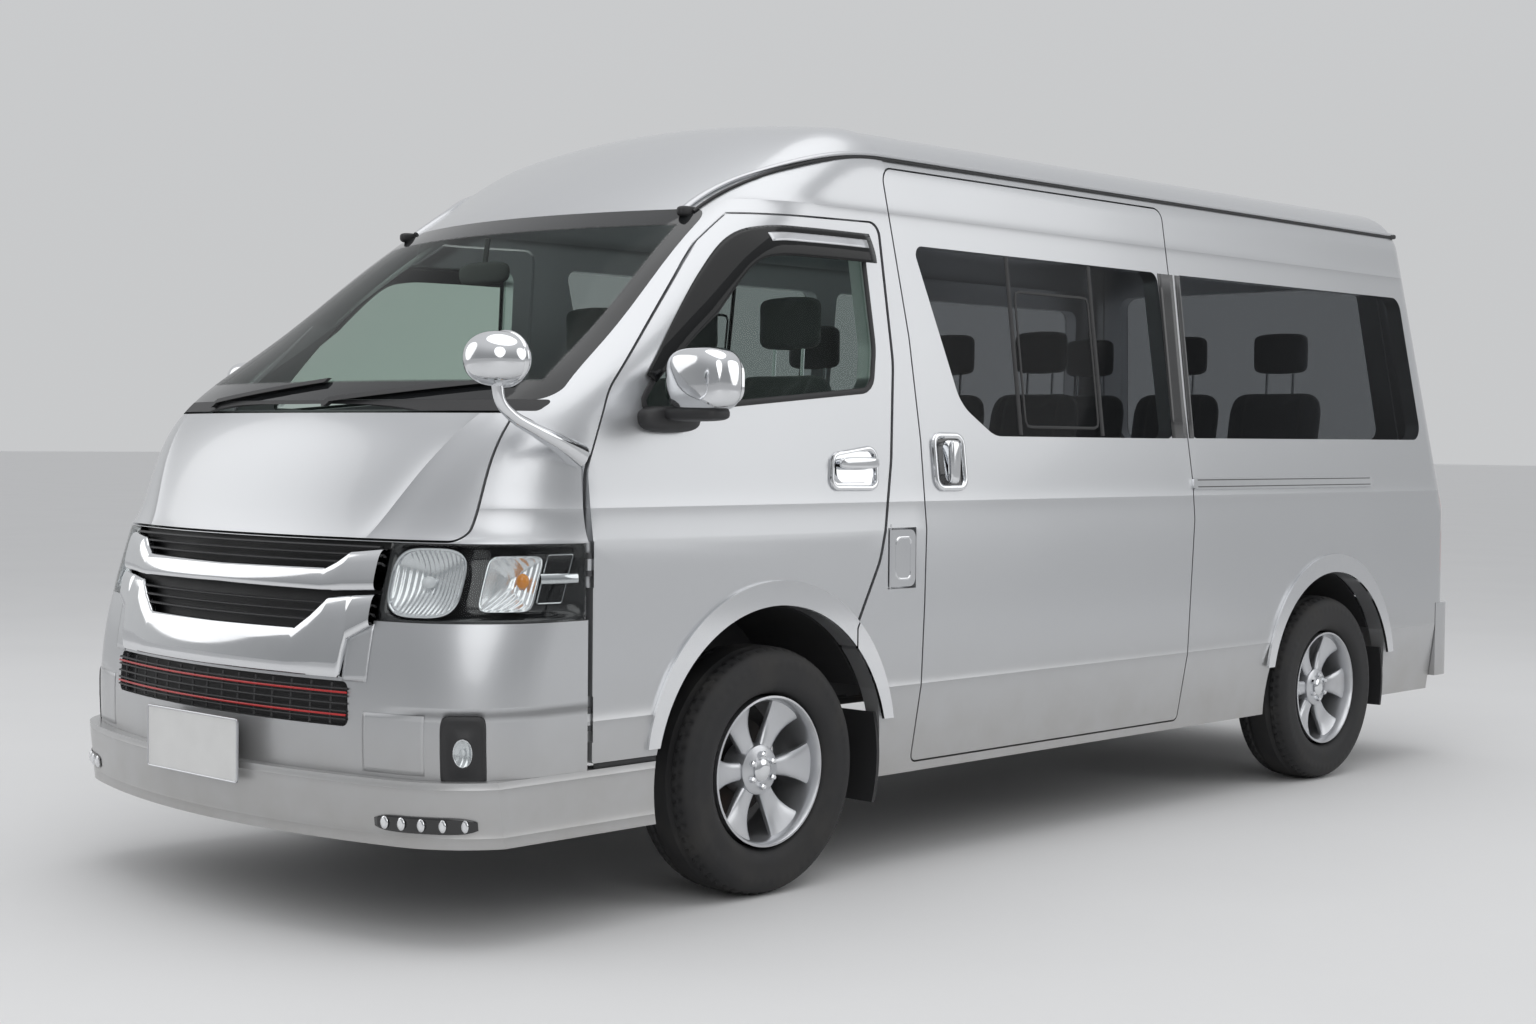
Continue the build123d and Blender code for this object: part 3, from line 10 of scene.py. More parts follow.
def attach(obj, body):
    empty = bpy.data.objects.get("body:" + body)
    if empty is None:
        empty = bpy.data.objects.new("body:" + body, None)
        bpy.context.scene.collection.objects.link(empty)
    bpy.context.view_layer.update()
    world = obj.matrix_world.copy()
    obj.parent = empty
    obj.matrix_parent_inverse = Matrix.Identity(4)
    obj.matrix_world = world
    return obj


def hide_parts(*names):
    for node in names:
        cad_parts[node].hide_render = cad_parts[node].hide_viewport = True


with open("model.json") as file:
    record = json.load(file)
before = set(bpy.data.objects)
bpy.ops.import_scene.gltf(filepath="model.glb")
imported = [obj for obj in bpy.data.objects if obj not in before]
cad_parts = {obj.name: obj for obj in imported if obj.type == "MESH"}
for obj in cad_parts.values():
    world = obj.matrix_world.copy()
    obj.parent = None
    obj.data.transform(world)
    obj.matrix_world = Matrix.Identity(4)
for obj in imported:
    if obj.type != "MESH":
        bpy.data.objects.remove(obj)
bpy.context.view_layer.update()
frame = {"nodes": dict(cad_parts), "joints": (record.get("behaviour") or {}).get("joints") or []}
nodes = frame["nodes"]
joints = {joint["name"]: joint for joint in frame["joints"]}
axleFront = joints["spin_front_left"]["pos_m"][1]

# The van's skin in metres: it faces -Y, its left side is +X, y counts from the middle of the van
skin = {
    "half": 0.940,        # half width below the shoulder
    "lean": 0.1244,       # how fast the sides lean in above it
    "shoulder": 1.020,
    "nose": axleFront - 1.235,
    "cabEnd": axleFront + 0.600,
    "fanLine": axleFront + 0.900,
}
# height, setback behind the nose, bow radius, corner radius
noseRows = np.array([
    [0.200, 0.020, 2.6, 0.300],
    [0.430, 0.000, 2.6, 0.290],
    [0.620, 0.000, 2.6, 0.290],
    [0.840, 0.035, 2.6, 0.340],
    [1.020, 0.080, 2.6, 0.400],
])
# place along the centre line from the front axle, height, bow radius, corner radius
fanRows = np.array([
    [-1.155, 1.020, 2.6, 0.400],
    [-1.065, 1.215, 2.6, 0.330],
    [-0.960, 1.370, 2.6, 0.230],
    [-0.565, 1.670, 2.6, 0.190],
    [-0.170, 1.965, 2.7, 0.190],
    [0.100, 2.122, 3.2, 0.190],
    [0.340, 2.240, 4.2, 0.190],
    [0.600, 2.285, 4.5, 0.190],
    [0.900, 2.285, 4.5, 0.190],
])


# Cubic through the rows: each stretch is a Hermite curve whose end slopes are those of its neighbours
def throughRows(rows, knots, at):
    slopes = np.gradient(rows, knots, axis=0)
    i = np.clip(np.searchsorted(knots, at, side="right") - 1, 0, len(knots) - 2)
    gap = knots[i + 1] - knots[i]
    t = ((at - knots[i]) / gap)[..., None]
    gap = gap[..., None]
    low, high = rows[i], rows[i + 1]
    return (low * (2 * t**3 - 3 * t**2 + 1) + high * (3 * t**2 - 2 * t**3)
            + slopes[i] * gap * (t**3 - 2 * t**2 + t) + slopes[i + 1] * gap * (t**3 - t**2))


# How far a section reaches at a distance across it: a bow arc in the middle, a smaller arc at each corner
def reachAcross(across, lean, reach, bow, corner):
    slope = np.hypot(1.0, lean)
    start = skin["half"] - corner * slope
    middle = reach - bow
    a = lean**2 + 1
    b = -2 * start * lean - 2 * middle
    c = start**2 + middle**2 - (bow - corner)**2
    along = (-b + np.sqrt(b * b - 4 * a * c)) / (2 * a)
    centre = start - lean * along
    spread = np.hypot(centre, along - middle)
    edge = centre / spread * bow
    onBow = middle + np.sqrt(np.maximum(bow**2 - across**2, 0))
    onCorner = along + np.sqrt(np.maximum(corner**2 - (np.abs(across) - centre)**2, 0))
    return np.where(np.abs(across) <= edge, onBow, onCorner)


# Front face below the shoulder: y at a place across and a height
def noseY(x, z):
    x, z = np.broadcast_arrays(np.asarray(x, float), np.asarray(z, float))
    rows = throughRows(noseRows[:, 1:], noseRows[:, 0], z)
    reach = skin["cabEnd"] - skin["nose"] - rows[..., 0]
    return skin["cabEnd"] - reachAcross(x, 0.0 * x, reach, rows[..., 1], rows[..., 2])


# Cab above the shoulder: y at a place across and a height, found by halving the fan's parameter
def cabY(x, z):
    x, z = np.broadcast_arrays(np.asarray(x, float), np.asarray(z, float))
    knots = np.arange(len(fanRows), dtype=float)
    low, high = np.zeros_like(x), np.full_like(x, len(fanRows) - 1.0)
    for step in range(26):
        middle = (low + high) / 2
        y, rise = fanPoint(x, middle, knots)
        under = rise < z
        low, high = np.where(under, middle, low), np.where(under, high, middle)
    return y


# Point of the fan: the section's reach laid along its own plane, which turns about the fan line
def fanPoint(x, t, knots):
    rows = throughRows(fanRows, knots, t)
    back = skin["fanLine"] - (axleFront + rows[..., 0])
    rise = rows[..., 1] - skin["shoulder"]
    size = np.hypot(back, rise)
    lean = skin["lean"] * rise / size
    along = reachAcross(x, lean, size, rows[..., 2], rows[..., 3])
    return skin["fanLine"] - along * back / size, skin["shoulder"] + along * rise / size


# Side wall: x at a height, upright below the shoulder and leaning in above it
def sideX(z):
    return skin["half"] - skin["lean"] * np.maximum(z - skin["shoulder"], 0)


# Section of the front at one height, by the distance s walked along it from the middle: bow, corner, side
def nosePath(s, z, inset=0.0):
    s, z = np.broadcast_arrays(np.asarray(s, float), np.asarray(z, float))
    rows = throughRows(noseRows[:, 1:], noseRows[:, 0], z)
    setback, bow, corner = rows[..., 0], rows[..., 1], rows[..., 2]
    reach = skin["cabEnd"] - skin["nose"] - setback
    start = skin["half"] - corner
    middle = reach - bow
    along = middle + np.sqrt((bow - corner)**2 - start**2)
    turn = np.arcsin(start / (bow - corner))
    firstRun, secondRun = bow * turn, corner * (np.pi / 2 - turn)
    angle = np.where(s < firstRun, s / bow, np.minimum(turn + (s - firstRun) / corner, np.pi / 2))
    past = np.maximum(s - firstRun - secondRun, 0)
    onBow = s < firstRun
    x = np.where(onBow, (bow - inset) * np.sin(angle), start + (corner - inset) * np.sin(angle))
    onCorner = along + (corner - inset) * np.cos(angle) - past
    return x, skin["cabEnd"] - np.where(onBow, middle + (bow - inset) * np.cos(angle), onCorner)


class Pen:
    # one socket of a material's nodes; sums and products of pens add Math nodes
    def __init__(self, tree, socket=None):
        self.tree = tree
        self.socket = socket

    def node(self, kind, settings=None, inputs=None, out=0):
        made = self.tree.nodes.new(kind)
        for key, value in (settings or {}).items():
            if key == "stops":
                for stop, (place, colour) in zip(made.color_ramp.elements, value):
                    stop.position, stop.color = place, colour
            else:
                setattr(made, key, value)
        for key, value in (inputs or {}).items():
            plug(self.tree, made.inputs[key], value)
        return Pen(self.tree, made.outputs[out])

    def maths(self, operation, *values):
        return self.node("ShaderNodeMath", {"operation": operation}, dict(enumerate(values)))

    def __add__(self, other):
        return self.maths("ADD", self, other)

    def __radd__(self, other):
        return self.maths("ADD", other, self)

    def __sub__(self, other):
        return self.maths("SUBTRACT", self, other)

    def __rsub__(self, other):
        return self.maths("SUBTRACT", other, self)

    def __mul__(self, other):
        return self.maths("MULTIPLY", self, other)

    def __rmul__(self, other):
        return self.maths("MULTIPLY", other, self)

    def __truediv__(self, other):
        return self.maths("DIVIDE", self, other)

    def __abs__(self):
        return self.maths("ABSOLUTE", self)

    def __neg__(self):
        return self.maths("MULTIPLY", self, -1.0)

    def ease(self, low, high):  # 0 below low, 1 above high, smooth between
        return self.node("ShaderNodeMapRange", {"interpolation_type": "SMOOTHSTEP"},
                         {"Value": self, "From Min": low, "From Max": high})

    def mix(self, first, second):  # two colours by this value
        return self.node("ShaderNodeMix", {"data_type": "RGBA"}, {0: self, 6: first, 7: second}, out=2)


def plug(tree, socket, value):
    if isinstance(value, Pen):
        tree.links.new(value.socket, socket)
    else:
        socket.default_value = value


def place(pen):
    return pen.node("ShaderNodeTexCoord", out=3)


def split(pen, spot):
    cut = pen.node("ShaderNodeSeparateXYZ", None, {0: spot})
    return [Pen(pen.tree, socket) for socket in cut.socket.node.outputs]


def noise(pen, scale, detail=2.0):
    return pen.node("ShaderNodeTexNoise", None, {"Vector": place(pen), "Scale": scale, "Detail": detail})


def bump(pen, height, strength=1.0):  # height in metres
    return pen.node("ShaderNodeBump", None, {"Strength": strength, "Distance": 1.0, "Height": height})


def colour(r, g, b):
    return (r, g, b, 1.0)


# A material whose Principled sockets come from a recipe, as numbers or as pens
def finish(name, recipe):
    made = bpy.data.materials.new(name)
    made.use_nodes = True
    tree = made.node_tree
    shader = tree.nodes["Principled BSDF"]
    for key, value in recipe(Pen(tree)).items():
        plug(tree, shader.inputs[key], value)
    made.diffuse_color = (0.5, 0.5, 0.5, 1.0)
    return made


paintLook = {
    "silver": colour(0.56, 0.57, 0.585),
    "dust": colour(0.36, 0.34, 0.31),
    # height, ridge, spread of each pressed line along the sides
    "creases": ((1.975, 0.0060, 0.016), (1.105, 0.0050, 0.022), (0.555, 0.0075, 0.020), (2.230, 0.003, 0.02)),
    # bonnet line: where it starts at the shoulder, how fast it spreads with height, ridge, spread
    "bonnetLine": (0.520, 0.55, 0.0070, 0.030),
    "lipCreases": ((0.412, 0.0050, 0.010), (0.290, 0.0060, 0.014)),
    # bumper scoop beside each fog lamp: where it starts and ends across, top edge, depth
    "scoop": {"from": 0.640, "to": 0.800, "low": 0.575, "high": 0.612, "deep": 0.022},
}


# Paint: dusty low down, with pressed lines where |x| passes beyond, and the bumper's scoop as a soft step
def silverPaint(pen, creases=(), beyond=0.70, scooped=False, ridged=False):
    x, y, z = split(pen, place(pen))
    cloud = noise(pen, 1.7)
    peel = noise(pen, 240.0, 1.0)
    low = 1.0 - z.ease(0.20, 0.75)
    dusty = low * (0.25 + 0.5 * noise(pen, 9.0, 5.0))
    height = 0.00003 * peel
    for level, ridge, spread in creases:
        fall = pen.maths("EXPONENT", -abs(z - level) / spread)
        height = height + abs(x).ease(beyond, beyond + 0.08) * ridge * fall
    if scooped:
        scoop = paintLook["scoop"]
        sunk = abs(x).ease(scoop["from"], scoop["to"]) * (1.0 - z.ease(scoop["low"], scoop["high"]))
        height = height - scoop["deep"] * sunk
    if ridged:
        start, spreading, ridge, spread = paintLook["bonnetLine"]
        away = abs(x) - (start + spreading * (z - skin["shoulder"]))
        height = height + ridge * pen.maths("EXPONENT", -abs(away) / spread)
    return {
        "Base Color": dusty.mix(paintLook["silver"], paintLook["dust"]),
        "Metallic": 0.86 - 0.5 * dusty,
        "Roughness": 0.31 + 0.06 * cloud + 0.25 * dusty,
        "Coat Weight": 0.7 - 0.5 * dusty,
        "Coat Roughness": 0.10,
        "Normal": bump(pen, height),
    }


# clean colour, dull colour, scale and detail of the film, roughness without it, what it adds, other sockets
filmLooks = {
    "brightPlating": ((0.80, 0.81, 0.82), (0.74, 0.75, 0.77), 14.0, 3.0, 0.05, 0.06, {"Metallic": 1.0}),
    "glossBlack": ((0.006, 0.006, 0.007), (0.016, 0.016, 0.017), 11.0, 4.0, 0.08, 0.1, {"Coat Weight": 0.6}),
    "plateWhite": ((0.80, 0.80, 0.79), (0.70, 0.70, 0.69), 12.0, 4.0, 0.35, 0.1, {}),
    "amberBulb": ((0.85, 0.33, 0.03), (0.70, 0.22, 0.02), 40.0, 2.0, 0.15, 0.1, {"Coat Weight": 1.0}),
    "redLine": ((0.55, 0.02, 0.02), (0.40, 0.012, 0.014), 30.0, 2.0, 0.25, 0.1, {}),
    "paleLamp": ((0.86, 0.87, 0.88), (0.75, 0.76, 0.78), 60.0, 2.0, 0.12, 0.1, {"Coat Weight": 1.0}),
}


# Finish under a thin film of dirt: it clouds the clean colour with the dull one and roughens the surface
def filmed(name):
    clean, dull, scale, detail, rough, added, others = filmLooks[name]

    def recipe(pen):
        film = noise(pen, scale, detail)
        clouded = film.mix(colour(*clean), colour(*dull))
        return {"Base Color": clouded, "Roughness": rough + added * film, **others}

    return finish(name, recipe)


def alloyMetal(pen):
    grain = noise(pen, 60.0, 4.0)
    grime = noise(pen, 7.0, 5.0).ease(0.5, 0.85)
    return {"Base Color": (0.35 * grime).mix(colour(0.60, 0.61, 0.63), colour(0.20, 0.18, 0.16)),
            "Metallic": 0.85, "Roughness": 0.27 + 0.12 * grain, "Coat Weight": 0.5 - 0.3 * grime,
            "Normal": bump(pen, 0.00002 * grain)}


def tyreRubber(pen):
    grain = noise(pen, 420.0, 2.0)
    dust = noise(pen, 8.0, 4.0).ease(0.40, 0.80)
    return {"Base Color": (0.5 * dust).mix(colour(0.012, 0.012, 0.013), colour(0.055, 0.052, 0.048)),
            "Roughness": 0.62 + 0.2 * dust, "Normal": bump(pen, 0.00012 * grain)}


def grainedPlastic(pen):
    grain = noise(pen, 700.0, 2.0)
    wear = noise(pen, 5.0, 3.0)
    return {"Base Color": wear.mix(colour(0.016, 0.016, 0.0168), colour(0.0288, 0.0288, 0.0304)),
            "Roughness": 0.42 + 0.22 * wear, "Normal": bump(pen, 0.00005 * grain)}


def rustySteel(pen):
    blotch = noise(pen, 6.0, 6.0).ease(0.45, 0.75)
    grain = noise(pen, 90.0, 4.0)
    return {"Base Color": (0.6 * blotch).mix(colour(0.02, 0.02, 0.021), colour(0.075, 0.045, 0.03)),
            "Metallic": 0.25 - 0.2 * blotch, "Roughness": 0.55 + 0.3 * blotch,
            "Normal": bump(pen, 0.0002 * grain)}


def seatCloth(pen):
    x, y, z = split(pen, place(pen))
    warp = pen.maths("SINE", x * 3300.0)
    weft = pen.maths("SINE", (y + z) * 3300.0)
    slub = noise(pen, 160.0, 3.0)
    tone = 0.5 + 0.22 * warp * weft + 0.5 * (slub - 0.5)
    return {"Base Color": tone.mix(colour(0.055, 0.056, 0.062), colour(0.135, 0.135, 0.145)),
            "Roughness": 0.88, "Sheen Weight": 0.35,
            "Normal": bump(pen, 0.0002 * warp * weft + 0.0003 * slub)}


def innerTrim(pen):
    grain = noise(pen, 500.0, 2.0)
    shade = noise(pen, 3.0, 3.0)
    return {"Base Color": shade.mix(colour(0.050, 0.051, 0.054), colour(0.080, 0.080, 0.084)),
            "Roughness": 0.62 + 0.15 * shade, "Normal": bump(pen, 0.00006 * grain)}


# Tail lamp: ribbed red with a pale band between two heights
def redLens(pen):
    x, y, z = split(pen, place(pen))
    ribs = pen.maths("SINE", z * 620.0)
    band = z.ease(0.93, 0.94) * (1.0 - z.ease(1.03, 1.04))
    return {"Base Color": (0.9 * band).mix(colour(0.42, 0.012, 0.016), colour(0.75, 0.72, 0.70)),
            "Roughness": 0.09, "Coat Weight": 1.0, "Normal": bump(pen, 0.0005 * ribs)}


def reflector(pen):
    x, y, z = split(pen, place(pen))
    flutes = pen.maths("SINE", x * 520.0)
    film = noise(pen, 25.0, 2.0)
    return {"Base Color": film.mix(colour(0.88, 0.89, 0.90), colour(0.78, 0.79, 0.81)), "Metallic": 0.75,
            "Roughness": 0.16 + 0.1 * film, "Normal": bump(pen, 0.0008 * flutes)}


# Glass: see-through by its tint, glossy by Fresnel, and black where a printed border lies
def glassFinish(name, tint, shade, border=None):
    made = bpy.data.materials.new(name)
    made.use_nodes = True
    tree = made.node_tree
    shader = tree.nodes["Principled BSDF"]
    pen = Pen(tree)
    film = noise(pen, 3.0, 4.0)
    dark = film.mix(colour(0.010, 0.011, 0.012), colour(0.016, 0.017, 0.018))
    plug(tree, shader.inputs["Base Color"], dark)
    plug(tree, shader.inputs["Roughness"], 0.02 + 0.03 * film)
    clear = pen.node("ShaderNodeBsdfTransparent", None, {"Color": tint})
    gloss = pen.node("ShaderNodeFresnel", None, {"IOR": 1.5})
    back = pen.node("ShaderNodeNewGeometry", out=6)
    cover = gloss * (1.0 - back) + shade
    if border:
        cover = cover + border(pen)
    cover = pen.node("ShaderNodeClamp", None, {"Value": cover})
    mixed = pen.node("ShaderNodeMixShader", None, {0: cover, 1: clear, 2: Pen(tree, shader.outputs[0])})
    tree.links.new(mixed.socket, tree.nodes["Material Output"].inputs["Surface"])
    return made


screenEdge = {"low": 1.384, "high": 1.944, "halfLow": 0.848, "halfHigh": 0.700, "band": 0.045, "fade": 0.012}


# Border of the windscreen: full near its outline and along the top, faded over a short way
def screenBorder(pen):
    x, y, z = split(pen, place(pen))
    rise = (z - screenEdge["low"]) / (screenEdge["high"] - screenEdge["low"])
    half = screenEdge["halfLow"] + rise * (screenEdge["halfHigh"] - screenEdge["halfLow"])
    upright = pen.maths("MINIMUM", z - screenEdge["low"], screenEdge["high"] - z)
    inside = pen.maths("MINIMUM", half - abs(x), upright)
    return 1.0 - inside.ease(screenEdge["band"], screenEdge["band"] + screenEdge["fade"])


finishes = {
    "paint": finish("silverPaint", silverPaint),
    "sidePaint": finish("silverSidePaint", lambda pen: silverPaint(pen, paintLook["creases"])),
    "lipPaint": finish("silverLipPaint", lambda pen: silverPaint(pen, paintLook["lipCreases"], -0.1)),
    "bonnetPaint": finish("silverBonnetPaint", lambda pen: silverPaint(pen, ridged=True)),
    "bumperPaint": finish("silverBumperPaint", lambda pen: silverPaint(pen, scooped=True)),
    "bright": filmed("brightPlating"),
    "alloy": finish("alloyCasting", alloyMetal),
    "tyre": finish("tyreRubber", tyreRubber),
    "plastic": finish("grainedPlastic", grainedPlastic),
    "gloss": filmed("glossBlack"),
    "steel": finish("chassisSteel", rustySteel),
    "cloth": finish("seatCloth", seatCloth),
    "trim": finish("innerTrim", innerTrim),
    "red": finish("redLens", redLens),
    "plate": filmed("plateWhite"),
    "amber": filmed("amberBulb"),
    "redLine": filmed("redLine"),
    "pale": filmed("paleLamp"),
    "reflector": finish("lampReflector", reflector),
    "screen": glassFinish("screenGlass", colour(0.88, 0.93, 0.90), 0.02, screenBorder),
    "clear": glassFinish("doorGlass", colour(0.80, 0.86, 0.83), 0.03),
    "privacy": glassFinish("privacyGlass", colour(0.66, 0.67, 0.68), 0.06),
    "lens": glassFinish("lampLens", colour(0.97, 0.98, 0.98), 0.02),
    "visor": glassFinish("visorSheet", colour(0.09, 0.09, 0.095), 0.45),
}
print("finishes:", len(finishes))


# Keeps a value's sign and raises its size to a power
def bent(value, power):
    return np.sign(value) * np.abs(value)**power


# A patch is (points, faces) of a grid, row by row; loop closes it along its rows
def patch(points, loop=False):
    rows, cols = points.shape[:2]
    i, j = np.meshgrid(np.arange(rows - 1), np.arange(cols if loop else cols - 1), indexing="ij")
    right = (j + 1) % cols
    corners = [i * cols + j, i * cols + right, (i + 1) * cols + right, (i + 1) * cols + j]
    return points.reshape(-1, 3), np.stack(corners, -1).reshape(-1, 4)


def mirrorPatch(part):
    points, faces = part
    return points * np.array([-1.0, 1.0, 1.0]), faces[:, ::-1]


# Left pieces as they are, right ones mirrored
def sided(side, parts):
    return parts if side == "left" else [mirrorPatch(part) for part in parts]


def bothSides(parts):
    return parts + sided("right", parts)


joinGap = 0.00002    # points closer than this are one


# Puts patches into one mesh; closed pieces have their faces turned outwards
def addPiece(name, parts, body, look, stands=(), closed=True, angle=35.0, wall=0.0):
    starts = np.cumsum([0] + [len(points) for points, faces in parts])
    points = np.concatenate([points for points, faces in parts])
    faces = np.concatenate([faces + start for (where, faces), start in zip(parts, starts)])
    mesh = bpy.data.meshes.new(name)
    mesh.from_pydata(points.tolist(), [], faces.tolist())
    work = bmesh.new()
    work.from_mesh(mesh)
    bmesh.ops.remove_doubles(work, verts=work.verts, dist=joinGap)
    bmesh.ops.dissolve_degenerate(work, edges=work.edges, dist=1e-6)
    if closed:
        bmesh.ops.recalc_face_normals(work, faces=work.faces)
    work.to_mesh(mesh)
    work.free()
    mesh.shade_smooth()
    mesh.set_sharp_from_angle(angle=math.radians(angle))
    mesh.materials.append(finishes[look])
    made = bpy.data.objects.new(name, mesh)
    bpy.context.scene.collection.objects.link(made)
    if wall:
        thick = made.modifiers.new("wall", "SOLIDIFY")
        thick.thickness = wall
        thick.offset = -1.0
    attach(made, body)
    if stands:
        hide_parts(*stands)
    return made


# Profile of (along, radius) pairs turned about an axis along X
def turned(profile, count, centre=(0, 0, 0)):
    profile = np.asarray(profile, float)
    angle = np.linspace(0, 2 * np.pi, count, endpoint=False)[None, :]
    x = np.broadcast_to(profile[:, :1], (len(profile), count))
    r = profile[:, 1:2]
    points = np.stack([x, r * np.cos(angle), r * np.sin(angle)], -1)
    return patch(points + np.asarray(centre), loop=True)


# Profile loop carried along a path; up is a direction that the path never follows
def swept(path, loop, up, scale=None, closed=False):
    path = np.asarray(path, float)
    along = np.roll(path, -1, 0) - np.roll(path, 1, 0) if closed else np.gradient(path, axis=0)
    along /= np.linalg.norm(along, axis=1)[:, None]
    side = np.cross(along, np.asarray(up, float))
    side /= np.linalg.norm(side, axis=1)[:, None]
    rise = np.cross(side, along)
    size = np.ones(len(path)) if scale is None else np.asarray(scale)
    flat = loop[None, :, :1] * side[:, None] + loop[None, :, 1:] * rise[:, None]
    points = path[:, None] + size[:, None, None] * flat
    if closed:
        return patch(np.concatenate([points, points[:1]]), loop=True)
    first, last = path[:1, None].repeat(len(loop), 1), path[-1:, None].repeat(len(loop), 1)
    return patch(np.concatenate([first, points, last]), loop=True)


# Squared ellipse: cosine and sine raised to two over the power
def ellipseLoop(across, up, count=16, power=2.0):
    angle = np.linspace(0, 2 * np.pi, count, endpoint=False)
    return np.stack([across * bent(np.cos(angle), 2 / power), up * bent(np.sin(angle), 2 / power)], -1)


# Rounded box: a sphere whose cosines and sines are raised to a power below one
def rounded(centre, half, power=0.5, rows=24, cols=40):
    v = np.linspace(-np.pi / 2, np.pi / 2, rows)[:, None]
    u = np.linspace(-np.pi, np.pi, cols, endpoint=False)[None, :]
    x = bent(np.cos(v), power) * bent(np.cos(u), power)
    y = bent(np.cos(v), power) * bent(np.sin(u), power)
    z = bent(np.sin(v), power) * np.ones_like(u)
    return patch(np.stack([x, y, z], -1) * np.asarray(half) + np.asarray(centre), loop=True)


# Corner rows of an upright rectangle, for outline
def boxRows(first, low, last, high, radius):
    return [(first, low, radius), (last, low, radius), (last, high, radius), (first, high, radius)]


# Closed outline from rows of (across, up, corner radius): straight runs joined by arcs, one row of points
def outline(rows, steps=8):
    rows = np.asarray(rows, float)
    spot, radius = rows[:, :2], rows[:, 2]
    before, after = np.roll(spot, 1, 0) - spot, np.roll(spot, -1, 0) - spot
    before /= np.linalg.norm(before, axis=1)[:, None]
    after /= np.linalg.norm(after, axis=1)[:, None]
    half = np.arccos(np.clip((before * after).sum(1), -1, 1)) / 2
    cut = radius / np.tan(half)
    t = np.linspace(0, 1, steps)[None, :, None]
    start, end = (spot + before * cut[:, None])[:, None], (spot + after * cut[:, None])[:, None]
    weight = np.sin(half)[:, None, None]
    top = start * (1 - t)**2 + 2 * weight * spot[:, None] * t * (1 - t) + end * t**2
    low = (1 - t)**2 + 2 * weight * t * (1 - t) + t**2
    return (top / low).reshape(-1, 2)


# The same outline with evenly spaced points
def evenly(line, count):
    closed = np.concatenate([line, line[:1]])
    step = np.concatenate([[0], np.cumsum(np.linalg.norm(np.diff(closed, axis=0), axis=1))])
    at = np.linspace(0, step[-1], count, endpoint=False)
    return np.stack([np.interp(at, step, closed[:, 0]), np.interp(at, step, closed[:, 1])], -1)


# Outline rows moved to a place on the side, as evenly spaced points
def sideLine(rows, y, z, count):
    return evenly(outline([(across + y, up + z, radius) for across, up, radius in rows]), count)


# CAD nodes keep their shape: their loose triangles are joined and shaded smooth up to an angle
def smoothGroup(angle):
    group = bpy.data.node_groups.new("smoothPanels", "GeometryNodeTree")
    group.interface.new_socket("Geometry", in_out="INPUT", socket_type="NodeSocketGeometry")
    group.interface.new_socket("Geometry", in_out="OUTPUT", socket_type="NodeSocketGeometry")
    start, end = group.nodes.new("NodeGroupInput"), group.nodes.new("NodeGroupOutput")
    join = group.nodes.new("GeometryNodeMergeByDistance")
    join.inputs["Distance"].default_value = joinGap
    faces, edges = [group.nodes.new("GeometryNodeSetShadeSmooth") for step in range(2)]
    edges.domain = "EDGE"
    bend = group.nodes.new("GeometryNodeInputMeshEdgeAngle")
    soft = group.nodes.new("FunctionNodeCompare")
    soft.operation = "LESS_THAN"
    soft.inputs["B"].default_value = math.radians(angle)
    link = group.links.new
    link(start.outputs[0], join.inputs["Geometry"])
    link(join.outputs["Geometry"], faces.inputs["Geometry"])
    link(faces.outputs["Geometry"], edges.inputs["Geometry"])
    link(bend.outputs["Unsigned Angle"], soft.inputs["A"])
    link(soft.outputs["Result"], edges.inputs["Shade Smooth"])
    link(edges.outputs["Geometry"], end.inputs[0])
    return group


smoothing = smoothGroup(angle=24.0)


def dress(name, look):
    made = nodes[name]
    made.data.materials.clear()
    made.data.materials.append(finishes[look])
    step = made.modifiers.new("smooth", "NODES")
    step.node_group = smoothing


nodeLooks = {
    "paint": ("roof", "tailgate", "bumper_rear"),
    "bonnetPaint": ("bonnet",),
    "lipPaint": ("lip_spoiler",),
    "bumperPaint": ("bumper_front",),
    "sidePaint": ("body_side_left", "body_side_right", "door_left", "door_right", "sliding_door"),
    "screen": ("windscreen",),
    "clear": ("door_glass_left", "door_glass_right"),
    "privacy": ("side_glass_left", "side_glass_right", "tailgate_glass"),
    "bright": ("fuel_flap", "grille_bars", "bright_trim", "corner_mirror", "door_bright_left",
               "door_bright_right"),
    "plastic": ("cowl", "grille", "wipers", "mud_flaps", "wheel_housings"),
    "trim": ("dashboard", "steering_wheel", "floor", "bulkhead", "seat_bases"),
    "steel": ("knuckle_left", "knuckle_right", "front_suspension", "rear_axle", "leaf_springs", "engine",
              "exhaust", "fuel_tank", "spare_wheel"),
    "red": ("tail_lamps",),
}
for look, names in nodeLooks.items():
    for name in names:
        dress(name, look)
print("CAD nodes dressed")

tyreLook = {
    "half": 0.1075, "bead": 0.214, "tread": 0.352, "rows": 92, "around": 240,
    "beadTurn": 1.22,     # how far the profile turns in past the widest place
    "sideSquare": 0.50, "treadSquare": 0.62,
    "grooves": (-0.046, 0.0, 0.046), "grooveHalf": 0.0045, "depth": 0.007,
    "blocks": 60, "slant": 60, "blocksFrom": 0.054,
    "ribs": 180, "ribRise": 0.0012, "ribBand": (0.300, 0.318),
}


